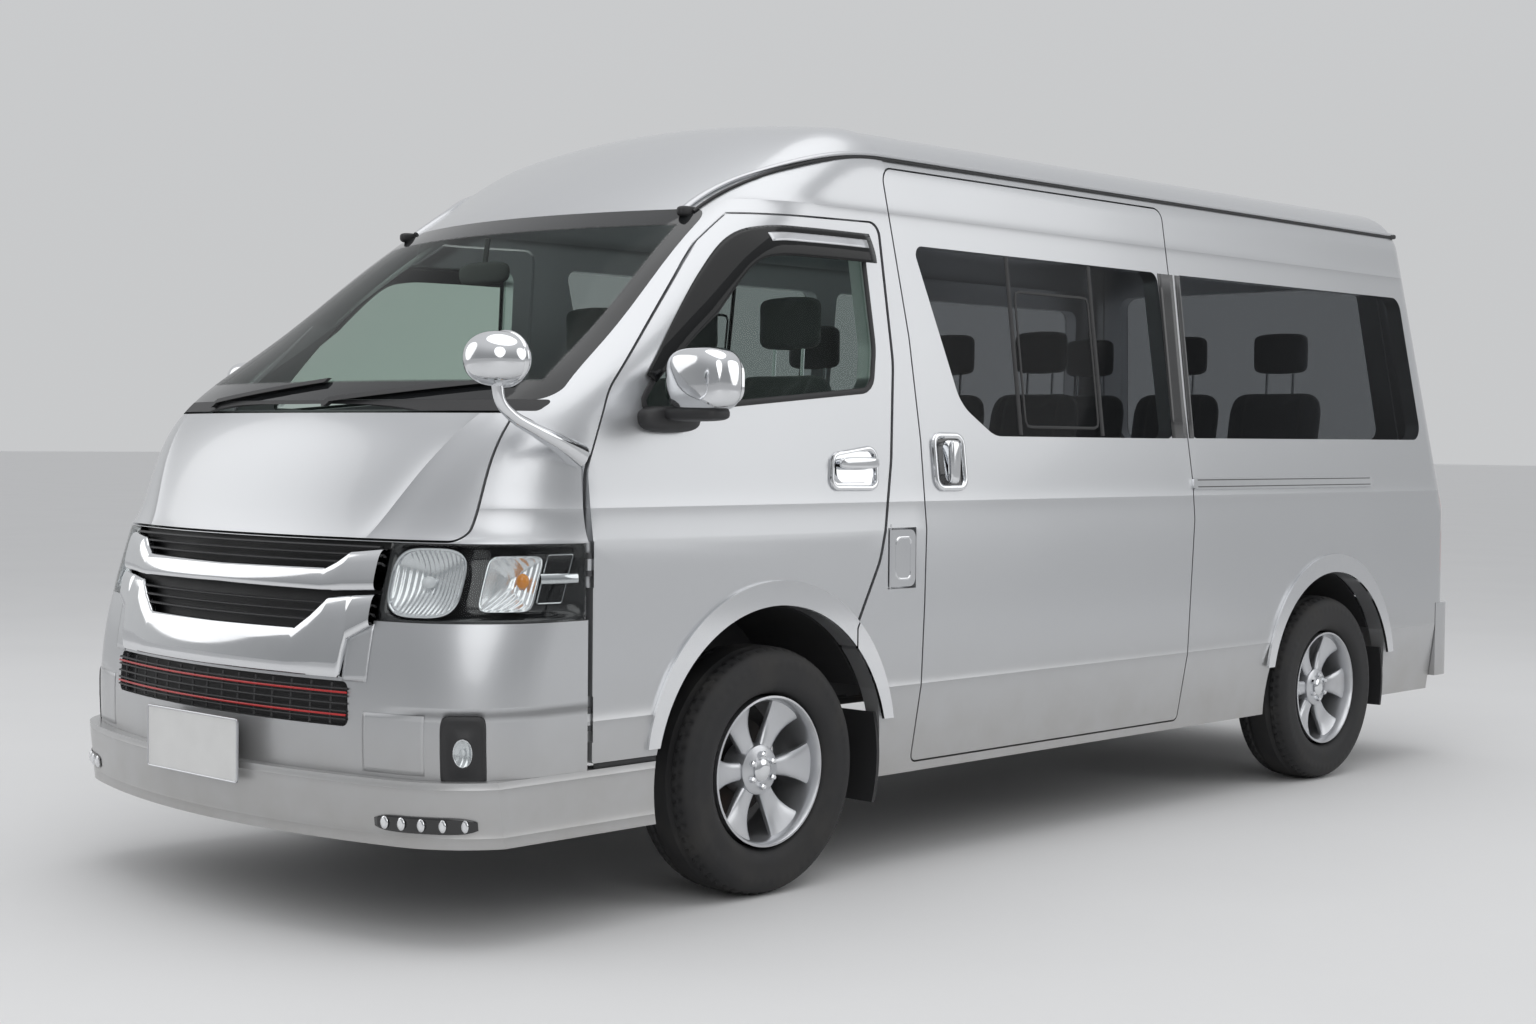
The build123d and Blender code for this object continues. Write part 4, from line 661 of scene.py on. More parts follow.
# Tyre at the origin, turned about X: a squared ellipse from bead to bead, cut by grooves where the tread is
def tyrePatch():
    middle = (tyreLook["bead"] + tyreLook["tread"]) / 2
    tall = (tyreLook["tread"] - tyreLook["bead"]) / 2
    turn = np.linspace(-tyreLook["beadTurn"], np.pi + tyreLook["beadTurn"], tyreLook["rows"])[:, None]
    angle = np.linspace(0, 2 * np.pi, tyreLook["around"], endpoint=False)[None, :]
    x = tyreLook["half"] * bent(np.cos(turn), tyreLook["sideSquare"])
    r = middle + tall * bent(np.sin(turn), tyreLook["treadSquare"])
    x, r, angle = np.broadcast_arrays(x, r, angle)
    onTread = np.clip((r - tyreLook["tread"] + 0.012) / 0.006, 0, 1)
    ring = np.min([np.abs(x - groove) for groove in tyreLook["grooves"]], axis=0)
    cut = np.clip(1.6 - ring / tyreLook["grooveHalf"], 0, 1)
    wave = np.cos(tyreLook["blocks"] * angle + tyreLook["slant"] * np.abs(x))
    slot = np.clip((wave - 0.72) / 0.12, 0, 1) * (np.abs(x) > tyreLook["blocksFrom"])
    band = (r > tyreLook["ribBand"][0]) & (r < tyreLook["ribBand"][1])
    ribs = tyreLook["ribRise"] * np.clip((np.cos(tyreLook["ribs"] * angle) + 0.2) * 3, 0, 1) * band
    r = r - onTread * tyreLook["depth"] * np.maximum(cut, 0.8 * slot)
    x = x + np.sign(x) * ribs * (1 - onTread)
    return patch(np.stack([x, r * np.cos(angle), r * np.sin(angle)], -1), loop=True)


wheelLook = {
    "rim": 0.2135, "lip": 0.0920, "face": 0.062, "lugs": 6, "lugCircle": 0.046,
    "spokes": 6, "spokeFrom": 0.040, "spokeTo": 0.206, "spokeSquare": 3.2,
    "wide": (0.024, 0.008, 0.034),     # half width at the hub, its spread and its flare at the rim
    "thick": (0.024, 0.010),           # at the hub, and what it loses towards the rim
    "dish": (0.012, 0.010, 0.016),     # how far the spoke's face is sunk, dished and lifted again
}


# Spoke: an oval carried outwards, narrow in the middle and flared into the rim, its face dished
def spokePatch(turn):
    out = np.linspace(wheelLook["spokeFrom"], wheelLook["spokeTo"], 22)
    share = (out - out[0]) / (out[-1] - out[0])
    foot, spread, flare = wheelLook["wide"]
    wide = foot + spread * share + flare * share**3
    thick = wheelLook["thick"][0] - wheelLook["thick"][1] * share
    sunk, dish, lift = wheelLook["dish"]
    face = wheelLook["face"] - sunk - dish * np.sin(np.pi * share) + lift * share**2
    loop = ellipseLoop(1.0, 1.0, 20, wheelLook["spokeSquare"])
    x = face[:, None] - thick[:, None] * (0.5 - 0.5 * loop[None, :, 1]) * 1.6
    across = wide[:, None] * loop[None, :, 0]
    bend = np.arcsin(np.clip(across / out[:, None], -1, 1)) + turn
    return patch(np.stack([x, out[:, None] * np.cos(bend), out[:, None] * np.sin(bend)], -1), loop=True)


# Barrel and hub, turned from profiles, and the spokes between them
def wheelPatches():
    lip, rim, face = wheelLook["lip"], wheelLook["rim"], wheelLook["face"]
    barrel = [(-lip, rim - 0.010), (-lip, rim), (-lip + 0.012, rim - 0.003), (lip - 0.014, rim - 0.003),
              (lip, rim), (lip + 0.001, rim - 0.006), (lip - 0.006, rim - 0.011), (lip - 0.022, rim - 0.014),
              (0.03, rim - 0.020), (-lip + 0.012, rim - 0.016), (-lip, rim - 0.010)]
    hub = [(-0.028, 0.031), (-0.028, 0.072), (face - 0.030, 0.074), (face - 0.012, 0.070),
           (face - 0.006, 0.060), (face - 0.006, 0.034), (face - 0.004, 0.031), (face - 0.010, 0.0)]
    step = 2 * np.pi / wheelLook["spokes"]
    return [turned(barrel, 96), turned(hub, 64)] + [spokePatch(step * k) for k in range(wheelLook["spokes"])]


# Plated cap in the middle and the nuts around it
def capPatches():
    face = wheelLook["face"]
    cap = [(face - 0.010, 0.033), (face + 0.002, 0.033), (face + 0.006, 0.028), (face + 0.008, 0.012),
           (face + 0.008, 0.0)]
    nut = [(face - 0.012, 0.010), (face + 0.006, 0.010), (face + 0.010, 0.006), (face + 0.010, 0.0)]
    parts = [turned(cap, 40)]
    for k in range(wheelLook["lugs"]):
        turn = 2 * np.pi * (k + 0.5) / wheelLook["lugs"]
        spot = (0, wheelLook["lugCircle"] * math.cos(turn), wheelLook["lugCircle"] * math.sin(turn))
        parts.append(turned(nut, 6, spot))
    return parts


# name, patches at the origin, look, slot, node replaced, shading angle
wheelPieces = (
    ("tyreCover_", [tyrePatch()], "tyre", "tyre_rubber", "tyre_", 28.0),
    ("alloyWheel_", wheelPatches(), "alloy", "alloy", "wheel_", 35.0),
    ("wheelCap_", capPatches(), "bright", "bright_metal", None, 35.0),
)
for corner in ("front_left", "front_right", "rear_left", "rear_right"):
    centre = np.asarray(joints["spin_" + corner]["pos_m"])
    for name, parts, look, slot, stands, angle in wheelPieces:
        placed = [(points + centre, faces) for points, faces in sided(corner.split("_")[1], parts)]
        addPiece(name + corner, placed, "wheel_" + corner, look, [stands + corner] if stands else (),
                 angle=angle)
print("wheels made")

lampLook = {
    "low": 0.8195, "high": 1.0140, "inner": 0.614, "deep": 0.050,
    "rear": joints["door_left_hinge"]["pos_m"][1] - 0.021,
    # run along the section, height, half sizes, squareness of the main and the turn reflector
    "main": (0.740, 0.917, (0.104, 0.084), 3.4),
    "turn": (0.968, 0.916, (0.072, 0.069), 7.0),
    "bracket": (1.050, 0.866, 1.125, 0.988),
    "bar": (1.045, 1.160, 0.928),
}
fogLook = {"x": 0.864, "z": 0.501, "half": (0.024, 0.036)}


# Distance walked along the front's section to a place across
def runAt(x, z, inset=0.0):
    walk = np.linspace(0, 1.6, 1600)
    return np.interp(x, nosePath(walk, z, inset)[0], walk)


# Distance along the front's section at which it reaches the lamp's rear edge
def lampRun(z):
    walk = np.linspace(0, 1.8, 1800)[None, :]
    x, y = nosePath(walk, np.asarray(z)[:, None])
    return walk[0][np.argmax(y > lampLook["rear"], axis=1)]


# Lamp surface: runs from the grille round the corner to the door, sunk into the skin by inset
def lampSheet(inset, rows=15, cols=48):
    v = np.linspace(0, 1, rows)[:, None]
    u = np.linspace(0, 1, cols)[None, :]
    z = lampLook["low"] + v * (lampLook["high"] - lampLook["low"])
    bow = noseRows[0, 2]
    first = bow * np.arcsin(lampLook["inner"] / bow)
    s = first + u * (lampRun(z[:, 0])[:, None] - first)
    z = z + 0.0 * s
    x, y = nosePath(s, z, inset(u, v) + 0.0 * s)
    return patch(np.stack([x, y, z], -1))


# Bowl sunk into the front: an oval or squared mouth walked out along the section, and a parabola behind it
def bowl(run, z, half, inset, deep, power):
    v = np.linspace(1, 0, 12)[:, None]
    loop = ellipseLoop(1.0, 1.0, 48, power)[None]
    s = run + half[0] * v * loop[..., 0]
    up = z + half[1] * v * loop[..., 1]
    x, y = nosePath(s, up, inset + deep * (1 - v**2) + 0.0 * s)
    return patch(np.stack([x, y, up], -1), loop=True)


# Line on the front's section from rows of (run, height), as a rod
def frontRod(rows, inset, loop, closed=False):
    x, y = nosePath(rows[:, 0], rows[:, 1], inset)
    return swept(np.stack([x, y, rows[:, 1]], -1), loop, (0.7, -0.7, 0.1), closed=closed)


# Bulb: a ball so far inside the skin
def bulbAt(run, z, inset, half, lift=0.0, rows=12, cols=20):
    x, y = nosePath(run, z, inset)
    return rounded((float(x), float(y), z + lift), half, 1.0, rows, cols)


lensSheet = lampSheet(lambda u, v: 0.0 * u * v)
caseSheet = lampSheet(lambda u, v: 0.004 + lampLook["deep"] * (1 - (2 * u - 1)**10) * (1 - (2 * v - 1)**8))
run, z, half, power = lampLook["main"]
mainBowl = bowl(run, z, half, 0.010, 0.040, power)
ringLine = np.array([run, z]) + ellipseLoop(1.0, 1.0, 64, power) * np.array(half)
mainRing = frontRod(ringLine, 0.009, ellipseLoop(0.004, 0.004, 8), True)
bulb = bulbAt(run, z, 0.034, (0.016, 0.020, 0.016))
run, z, half, power = lampLook["turn"]
turnBowl = bowl(run, z, half, 0.010, 0.036, power)
amberBulb = bulbAt(run + 0.035, z, 0.026, (0.016, 0.018, 0.020), 0.006)
lampBracket = frontRod(outline(boxRows(*lampLook["bracket"], 0.006)), 0.012, ellipseLoop(0.002, 0.003, 8), True)
barFrom, barTo, barLevel = lampLook["bar"]
barLine = np.stack([np.linspace(barFrom, barTo, 12), np.full(12, barLevel)], -1)
lampBar = frontRod(barLine, 0.012, ellipseLoop(0.013, 0.004, 12))
fogRun = float(runAt(fogLook["x"], fogLook["z"]))
fogBowl = bowl(fogRun, fogLook["z"], fogLook["half"], -0.012, 0.010, 2.0)
fogBulb = bulbAt(fogRun, fogLook["z"], -0.006, (0.009, 0.007, 0.010), 0.0, 10, 16)
fogLens = bowl(fogRun, fogLook["z"], fogLook["half"], -0.0125, -0.006, 2.0)
# patches of one side, look, slot, wall, closed, nodes replaced
lampPieces = {
    "headlampCase": ([caseSheet], "gloss", "lamp_clear", 0.003, False, ()),
    "headlampReflector": ([mainBowl, turnBowl, fogBowl], "reflector", "lamp_clear", 0.002, False, ()),
    "headlampBulb": ([bulb, fogBulb], "pale", "lamp_clear", 0.0, True, ()),
    "headlampAmber": ([amberBulb], "amber", "lamp_clear", 0.0, True, ()),
    "headlampRing": ([mainRing, lampBracket, lampBar], "bright", "bright_metal", 0.0, True, ()),
    "headlampLens": ([lensSheet, fogLens], "lens", "lamp_clear", 0.003, False, ["front_lamps"]),
}
for name, (parts, look, slot, wall, closed, stands) in lampPieces.items():
    addPiece(name, bothSides(parts), "body", look, stands, closed=closed, wall=wall)
print("lamps made")


# Half width of the long roof's section at a height: halving between the middle and the leaning side
def sectionX(z):
    low, high = np.zeros_like(z), sideX(z)
    for step in range(24):
        middle = (low + high) / 2
        shape = [skin["lean"] + 0.0 * middle, fanRows[-1, 1] - skin["shoulder"], *fanRows[-1, 2:]]
        top = reachAcross(middle, *shape)
        inside = skin["shoulder"] + top > z
        low, high = np.where(inside, middle, low), np.where(inside, high, middle)
    return low


# Skin seen from the side: the largest x, at a y and a height, that the front face and the roof leave
def skinX(y, z):
    y, z = np.broadcast_arrays(np.asarray(y, float), np.asarray(z, float))
    low, high = np.zeros_like(y), sideX(z)
    for step in range(22):
        middle = (low + high) / 2
        front = np.where(z < skin["shoulder"], noseY(middle, np.minimum(z, skin["shoulder"])),
                         cabY(middle, np.maximum(z, skin["shoulder"] + 1e-4)))
        inside = front < y
        low, high = np.where(inside, middle, low), np.where(inside, high, middle)
    return np.minimum(low, np.where(y >= skin["fanLine"], sectionX(z), low))


def onSide(y, z, out=0.0):
    y, z = np.broadcast_arrays(np.asarray(y, float), np.asarray(z, float))
    return np.stack([skinX(y, z) + out, y, z], -1)


# Arc of a circle through three points of a plane
def arcThrough(first, second, third, count):
    a, b, c = [complex(*spot) for spot in (first, second, third)]
    w = (c - a) / (b - a)
    middle = (b - a) * (w - abs(w)**2) / (2j * w.imag) + a
    turns = np.unwrap(np.angle([a - middle, b - middle, c - middle]))
    ring = middle + abs(a - middle) * np.exp(1j * np.linspace(turns[0], turns[-1], count))
    return np.stack([ring.real, ring.imag], -1)


# Sheet between an outline and its middle, domed by lift at the middle, lying on the side
def sidePlate(line, centre, out, lift, rows=8):
    v = np.linspace(1, 0, rows)[:, None, None]
    flat = np.asarray(centre) + v * (line - np.asarray(centre))[None]
    points = onSide(flat[..., 0], flat[..., 1], out)
    points[..., 0] += lift * (1 - v[..., 0]**2)
    return patch(points, loop=True)


# Oval rod round an outline on the side
def sideRing(line, out, loop):
    return swept(onSide(line[:, 0], line[:, 1], out), loop, (1, 0, 0), closed=True)


# grille: rows of half width, low edge and top edge of the two plated bars, and heights of the slats
grilleLook = {
    "low": np.array([[0.00, 0.670, 0.788], [0.350, 0.670, 0.790], [0.400, 0.670, 0.826],
                     [0.450, 0.670, 0.872], [0.525, 0.670, 0.880], [0.535, 0.768, 0.881],
                     [0.606, 0.806, 0.886]]),
    "high": np.array([[0.00, 0.889, 0.944], [0.10, 0.888, 0.945], [0.430, 0.886, 0.948],
                      [0.465, 0.887, 0.966], [0.500, 0.889, 0.990], [0.606, 0.894, 1.000]]),
    "half": 0.606, "sink": 0.014,
    "slats": (0.812, 0.834, 0.856, 0.962, 0.982, 1.002), "slatHalf": 0.585,
    "lowSlats": (0.567, 0.587, 0.606, 0.625, 0.644), "lowHalf": 0.555,
    "redLines": (0.5775, 0.6345),
    "uprights": np.linspace(-0.50, 0.50, 15), "uprightLow": 0.553, "uprightHigh": 0.657,
    # painted corner beside the bars: from and to across, low edge, high edge and its slope
    "cornerFrom": 0.532, "cornerTo": 0.611, "cornerLow": 0.664, "cornerHigh": 0.772, "cornerSlope": 0.5,
}


# Plated bar: across the front, its edges read off the rows, its face bulging as a sine from edge to edge
def grilleBar(rows, bulge):
    x = np.linspace(-grilleLook["half"], grilleLook["half"], 243)[None, :]
    low = np.interp(np.abs(x), rows[:, 0], rows[:, 1])
    high = np.interp(np.abs(x), rows[:, 0], rows[:, 2])
    turn = np.linspace(0, 2 * np.pi, 28, endpoint=False)[:, None]
    z = (low + high) / 2 - (high - low) / 2 * bent(np.cos(turn), 0.6)
    rise = np.sin(turn)
    out = np.where(rise > 0, bulge * np.abs(rise)**0.7, -grilleLook["sink"] * np.abs(rise)**0.4)
    x, z, out = np.broadcast_arrays(x, z, out)
    points = np.stack([x, noseY(x, z) - 0.004 - out, z], -1)
    return patch(np.concatenate([points, points[:1]]))


# Rods across the front at some heights, so far off the skin
def acrossFront(levels, half, out, loop):
    x = np.linspace(-half, half, 81)
    return [swept(np.stack([x, noseY(x, z) - out, z + 0 * x], -1), loop, (0, 0, 1)) for z in levels]


bars = [grilleBar(grilleLook["low"], 0.016), grilleBar(grilleLook["high"], 0.022)]
addPiece("grilleWings", bars, "body", "bright", ["grille_bars"], angle=40.0)
slats = acrossFront(grilleLook["slats"], grilleLook["slatHalf"], 0.000, ellipseLoop(0.010, 0.0035, 12))
slats += acrossFront(grilleLook["lowSlats"], grilleLook["lowHalf"], 0.002, ellipseLoop(0.005, 0.003, 10))
z = np.linspace(grilleLook["uprightLow"], grilleLook["uprightHigh"], 9)
for x in grilleLook["uprights"]:
    path = np.stack([x + 0 * z, noseY(x, z) - 0.001, z], -1)
    slats.append(swept(path, ellipseLoop(0.004, 0.003, 8), (0, 1, 0)))
addPiece("grilleSlats", slats, "body", "plastic")
redLines = acrossFront(grilleLook["redLines"], grilleLook["lowHalf"], 0.0055, ellipseLoop(0.0022, 0.0028, 10))
addPiece("grilleRedLines", redLines, "body", "redLine")
x, v = np.meshgrid(np.linspace(grilleLook["cornerFrom"], grilleLook["cornerTo"], 10), np.linspace(0, 1, 9))
cornerTop = grilleLook["cornerHigh"] + grilleLook["cornerSlope"] * (x - grilleLook["cornerFrom"])
z = grilleLook["cornerLow"] + v * (cornerTop - grilleLook["cornerLow"])
corners = bothSides([patch(np.stack([x, noseY(x, z) - 0.003, z], -1))])
addPiece("grilleCorners", corners, "body", "paint", closed=False, wall=0.006)

# front plate: blank, in a thin frame on a dark bracket
plateLook = {"half": 0.220, "low": 0.378, "high": 0.543, "corner": 0.008, "out": 0.047, "level": 0.47,
             "bracket": (-0.12, 0.425, 0.12, 0.535, 0.01), "bracketDeep": 0.052}
plateY = float(noseY(0.0, plateLook["level"])) - plateLook["out"]
plateLine = outline(boxRows(-plateLook["half"], plateLook["low"], plateLook["half"], plateLook["high"],
                            plateLook["corner"]))


# Flat slab with an outline across the front, from one y to another
def slab(line, front, back):
    spots = np.array([[0.0, front], [1.0, front], [1.0, back], [0.0, back]])
    middle = line.mean(0)
    flat = middle + spots[:, 0, None, None] * (line - middle)[None]
    y = np.broadcast_to(spots[:, 1, None], flat.shape[:2])
    return patch(np.stack([flat[..., 0], y, flat[..., 1]], -1), loop=True)


addPiece("plateBlank", [slab(plateLine, plateY - 0.002, plateY)], "body", "plate")
framePath = np.stack([plateLine[:, 0], plateY - 0.001 + 0 * plateLine[:, 0], plateLine[:, 1]], -1)
plateFrame = swept(framePath, ellipseLoop(0.003, 0.004, 8), (0, 1, 0), closed=True)
addPiece("plateFrame", [plateFrame], "body", "alloy")
bracket = slab(outline(boxRows(*plateLook["bracket"])), plateY + 0.001, plateY + plateLook["bracketDeep"])
addPiece("plateBracket", [bracket], "body", "plastic")

# fog lamps: a dark raised bezel on the bumper's corner, and a thin cover on the bumper further in
fogRim = {"half": (0.058, 0.092), "rise": 0.012, "dip": 0.008, "square": 7.0}
coverLook = {"runs": (0.610, 0.800), "levels": (0.440, 0.590), "out": 0.0012}


# Bezel: walked in from a squared edge to the lamp's oval, rising off the skin as a sine
def fogBezel():
    v = np.linspace(0, 1, 14)[:, None]
    edge = ellipseLoop(1.0, 1.0, 72, fogRim["square"]) * np.array(fogRim["half"])
    hole = ellipseLoop(1.0, 1.0, 72) * np.array(fogLook["half"])
    line = v[..., None] * hole + (1 - v[..., None]) * edge
    s, z = fogRun + line[..., 0], fogLook["z"] + line[..., 1]
    out = fogRim["rise"] * np.sin(np.pi / 2 * np.minimum(v * 4, 1)) - fogRim["dip"] * np.sin(np.pi * v)
    x, y = nosePath(s, z, -out - 0.001)
    return patch(np.stack([x, y, z], -1), loop=True)


addPiece("fogBezels", bothSides([fogBezel()]), "body", "plastic", closed=False, wall=0.0012)
s, z = np.meshgrid(np.linspace(*coverLook["runs"], 20), np.linspace(*coverLook["levels"], 12))
x, y = nosePath(s, z, -coverLook["out"])
covers = bothSides([patch(np.stack([x, y, z], -1))])
addPiece("bumperCovers", covers, "body", "bumperPaint", closed=False, wall=0.001)

# lamp strips in the lip: a dark slot and five round lamps a side
stripLook = {"z": 0.322, "ends": (0.700, 0.888), "past": 0.03, "tall": 0.021, "reach": 0.035, "lamps": 5,
             "dot": (0.013, 0.006, 0.014), "rim": (0.016, 0.0045, 0.017)}
stripRun = runAt(stripLook["ends"], stripLook["z"], -stripLook["reach"])


def stripSpot(s, z, out):
    x, y = nosePath(s, z, -stripLook["reach"] - out)
    return np.stack([x, y, z + 0.0 * s], -1)


slotEnds = stripRun[0] - stripLook["past"], stripRun[1] + stripLook["past"]
s, v = np.meshgrid(np.linspace(*slotEnds, 24), np.linspace(-1, 1, 7))
slotHalf = (stripRun[1] - stripRun[0]) / 2 + stripLook["past"]
end = np.clip(np.abs((s - stripRun.mean()) / slotHalf), 0, 1)
slotZ = stripLook["z"] + stripLook["tall"] * v * (1 - 0.5 * end**6)
slots = bothSides([patch(stripSpot(s, slotZ, 0.0012))])
addPiece("lampStripSlots", slots, "body", "gloss", closed=False, wall=0.001)
spots = [stripSpot(s, np.array(stripLook["z"]), 0.0015) for s in np.linspace(*stripRun, stripLook["lamps"])]
dots = [rounded(spot, stripLook["dot"], 1.0, 12, 20) for spot in spots]
rims = [rounded(spot, stripLook["rim"], 1.0, 12, 24) for spot in spots]
addPiece("lampStripDots", bothSides(dots), "body", "pale")
addPiece("lampStripRims", bothSides(rims), "body", "bright")
print("front made")

# drip rails: an arc over the cab door, then straight to the rear, with a dark strip under each rail as painted
# shadow, and end caps
dripLook = {"front": (-1.512, 1.940), "bend": (-1.210, 2.087), "top": (-0.860, 2.145), "straight": -0.80,
            "rear": 2.372, "frontCap": (-1.520, 1.934)}
straight = np.linspace(dripLook["straight"], dripLook["rear"], 44)
dripLine = np.concatenate([arcThrough(dripLook["front"], dripLook["bend"], dripLook["top"], 30),
                           np.stack([straight, np.full(44, dripLook["top"][1])], -1)])
dripY, dripZ = dripLine.T
rail = swept(onSide(dripY, dripZ + 0.006, 0.004), ellipseLoop(0.013, 0.008, 12), (0, 0, 1))
# dark strip just under the rail: painted shadow of the rail's lip, not a real part
groove = swept(onSide(dripY, dripZ - 0.005, 0.002), ellipseLoop(0.006, 0.005, 10), (0, 0, 1))
addPiece("dripRails", bothSides([rail]), "body", "paint")
caps = [rounded(onSide(*dripLook["frontCap"], 0.002), (0.014, 0.038, 0.016), 0.6, 14, 24),
        rounded(onSide(dripLook["rear"], dripLook["top"][1], 0.002), (0.012, 0.030, 0.010), 0.6, 14, 24)]
# the dark strip in this piece is painted shadow; the caps are the rail's black end caps
addPiece("dripSeals", bothSides([groove] + caps), "body", "plastic")

# door visors: a strip along the top of the door's window, bowed off the glass
visorLook = {
    "line": np.array([[-1.885, 1.445], [-1.760, 1.598], [-1.630, 1.735], [-1.500, 1.842], [-1.380, 1.878],
                      [-1.200, 1.885], [-0.945, 1.886]]),
    "outer": 0.016, "wide": 0.088, "bow": 0.022,
}
# corners of the door's window from the front axle, with their radii
windowRows = [(-0.510, 1.352, 0.025), (-0.245, 1.664, 0.060), (-0.040, 1.856, 0.110), (0.462, 1.866, 0.045),
              (0.478, 1.560, 0.200), (0.452, 1.436, 0.055)]


# Visor: carried along the line, from a high to a low share of its width, bowed off the glass as a sine
def visorSheet(first, last, high, low, out, cols=56, rows=9):
    knots = np.arange(len(visorLook["line"]), dtype=float)
    t = np.linspace(first, last, cols) * knots[-1]
    middle = throughRows(visorLook["line"], knots, t)
    along = np.gradient(middle, axis=0)
    along /= np.linalg.norm(along, axis=1)[:, None]
    down = np.stack([along[:, 1], -along[:, 0]], -1)
    v = np.linspace(high, low, rows)[:, None]
    taper = 0.35 + 0.65 * np.clip(t / 1.6, 0, 1)[None, :]
    offset = -visorLook["outer"] + v * visorLook["wide"] * taper
    y, z = [middle[None, :, k] + offset * down[None, :, k] for k in range(2)]
    points = onSide(y, z, 0.002)
    points[..., 0] += out + visorLook["bow"] * np.sin(np.pi / 2 * v) * taper
    return patch(points)


visor = visorSheet(0.0, 1.0, 0.0, 1.0, 0.0)
strip = visorSheet(0.66, 0.985, 0.22, 0.50, 0.0030, 24, 5)
windowLine = sideLine(windowRows, axleFront, 0.0, 150)
seal = sideRing(windowLine, 0.001, ellipseLoop(0.009, 0.005, 10))
for side in ("left", "right"):
    door = "door_" + side
    addPiece("visor_" + side, sided(side, [visor]), door, "visor", closed=False, wall=0.003)
    addPiece("visorStrip_" + side, sided(side, [strip]), door, "alloy", closed=False,
             wall=0.001)
    addPiece("doorSeal_" + side, sided(side, [seal]), door, "plastic")
print("visors and seals made")

# door mirrors: a plated head, a dark arm under it and a silvered face
mirrorLook = {
    "head": (1.052, -1.848, 1.441), "headHalf": (0.112, 0.062, 0.086),
    "arm": (1.020, -1.846, 1.352), "armHalf": (0.105, 0.050, 0.020),
    "foot": (0.905, -1.838, 1.338), "footHalf": (0.050, 0.105, 0.036),
    "face": [(-0.088, -0.062, 0.030), (0.088, -0.062, 0.040), (0.088, 0.062, 0.050), (-0.088, 0.062, 0.040)],
    "faceFrom": 0.050, "faceTo": 0.064,
}
head = rounded(mirrorLook["head"], mirrorLook["headHalf"], 0.62, 30, 48)
arm = rounded(mirrorLook["arm"], mirrorLook["armHalf"], 0.6, 18, 32)
foot = rounded(mirrorLook["foot"], mirrorLook["footHalf"], 0.7, 18, 32)
headX, headY, headZ = mirrorLook["head"]
faceLine = evenly(outline(mirrorLook["face"]), 60) + np.array([headX, headZ])
face = slab(faceLine, headY + mirrorLook["faceFrom"], headY + mirrorLook["faceTo"])
for side in ("left", "right"):
    door = "door_" + side
    stands = ["door_mirror_" + side]
    addPiece("mirrorHead_" + side, sided(side, [head]), door, "bright", stands)
    addPiece("mirrorArm_" + side, sided(side, [arm, foot]), door, "plastic")
    addPiece("mirrorFace_" + side, sided(side, [face]), door, "bright")

# handles: a plated bezel ring, a shallow dish and a grip; rows are corners of the bezel about its middle
handleLook = {
    "door": {"y": -1.103, "z": 1.209, "grip": (0.006, 0.012), "gripHalf": (0.010, 0.084, 0.017),
             "ring": (0.008, 0.007), "rows": [(-0.100, -0.060, 0.022), (0.098, -0.062, 0.028),
                                              (0.106, 0.058, 0.028), (-0.084, 0.034, 0.028)]},
    "slide": {"y": -0.653, "z": 1.224, "grip": (-0.004, 0.0), "gripHalf": (0.011, 0.022, 0.066),
              "ring": (0.010, 0.008), "rows": boxRows(-0.070, -0.080, 0.070, 0.080, 0.030)},
}


def handleParts(kind):
    made = handleLook[kind]
    y, z = made["y"], made["z"]
    bezel = sideLine(made["rows"], y, z, 72)
    ring = sideRing(bezel, 0.004, ellipseLoop(*made["ring"], 10))
    grip = rounded(onSide(y + made["grip"][0], z + made["grip"][1], 0.026), made["gripHalf"], 0.5, 18, 32)
    return [ring, grip], [sidePlate(bezel, (y, z), 0.0015, -0.0012)]


handle, dish = handleParts("door")
for side in ("left", "right"):
    door = "door_" + side
    addPiece("doorHandle_" + side, sided(side, handle), door, "bright")
    addPiece("doorDish_" + side, sided(side, dish), door, "bright", closed=False, wall=0.001)
handle, dish = handleParts("slide")
addPiece("slideHandle", handle, "body", "bright")
addPiece("slideDish", dish, "body", "gloss", closed=False, wall=0.001)
print("mirrors and handles made")

# band between the side windows: printed glass up to the door's rear edge, and bars over the sliding pane
bandLook = {"low": 1.306, "high": 1.882, "panes": ((0.596, 0.690), (0.704, 0.735)), "bars": (-0.274, 0.178),
            "barEnds": 0.004, "paneLow": 1.335, "paneHigh": 1.770}
sheets = []
for first, last in bandLook["panes"]:
    y, z = np.meshgrid(np.linspace(first, last, 5), np.linspace(bandLook["low"], bandLook["high"], 9))
    sheets.append(patch(onSide(y, z, 0.0014)))
addPiece("windowBand", bothSides(sheets), "body", "gloss", closed=False, wall=0.001)
z = np.linspace(bandLook["low"] + bandLook["barEnds"], bandLook["high"] - bandLook["barEnds"], 7)
barLoop = ellipseLoop(0.010, 0.004, 10)
paneBars = [swept(onSide(y + 0 * z, z, 0.0), barLoop, (1, 0, 0)) for y in bandLook["bars"]]
barFront, barRear = bandLook["bars"]
paneRows = boxRows(barFront + 0.03, bandLook["paneLow"], barRear - 0.02, bandLook["paneHigh"], 0.02)
paneBars.append(sideRing(sideLine(paneRows, 0.0, 0.0, 80), 0.0, ellipseLoop(0.005, 0.003, 8)))
addPiece("slidingPaneBars", bothSides(paneBars), "body", "plastic")

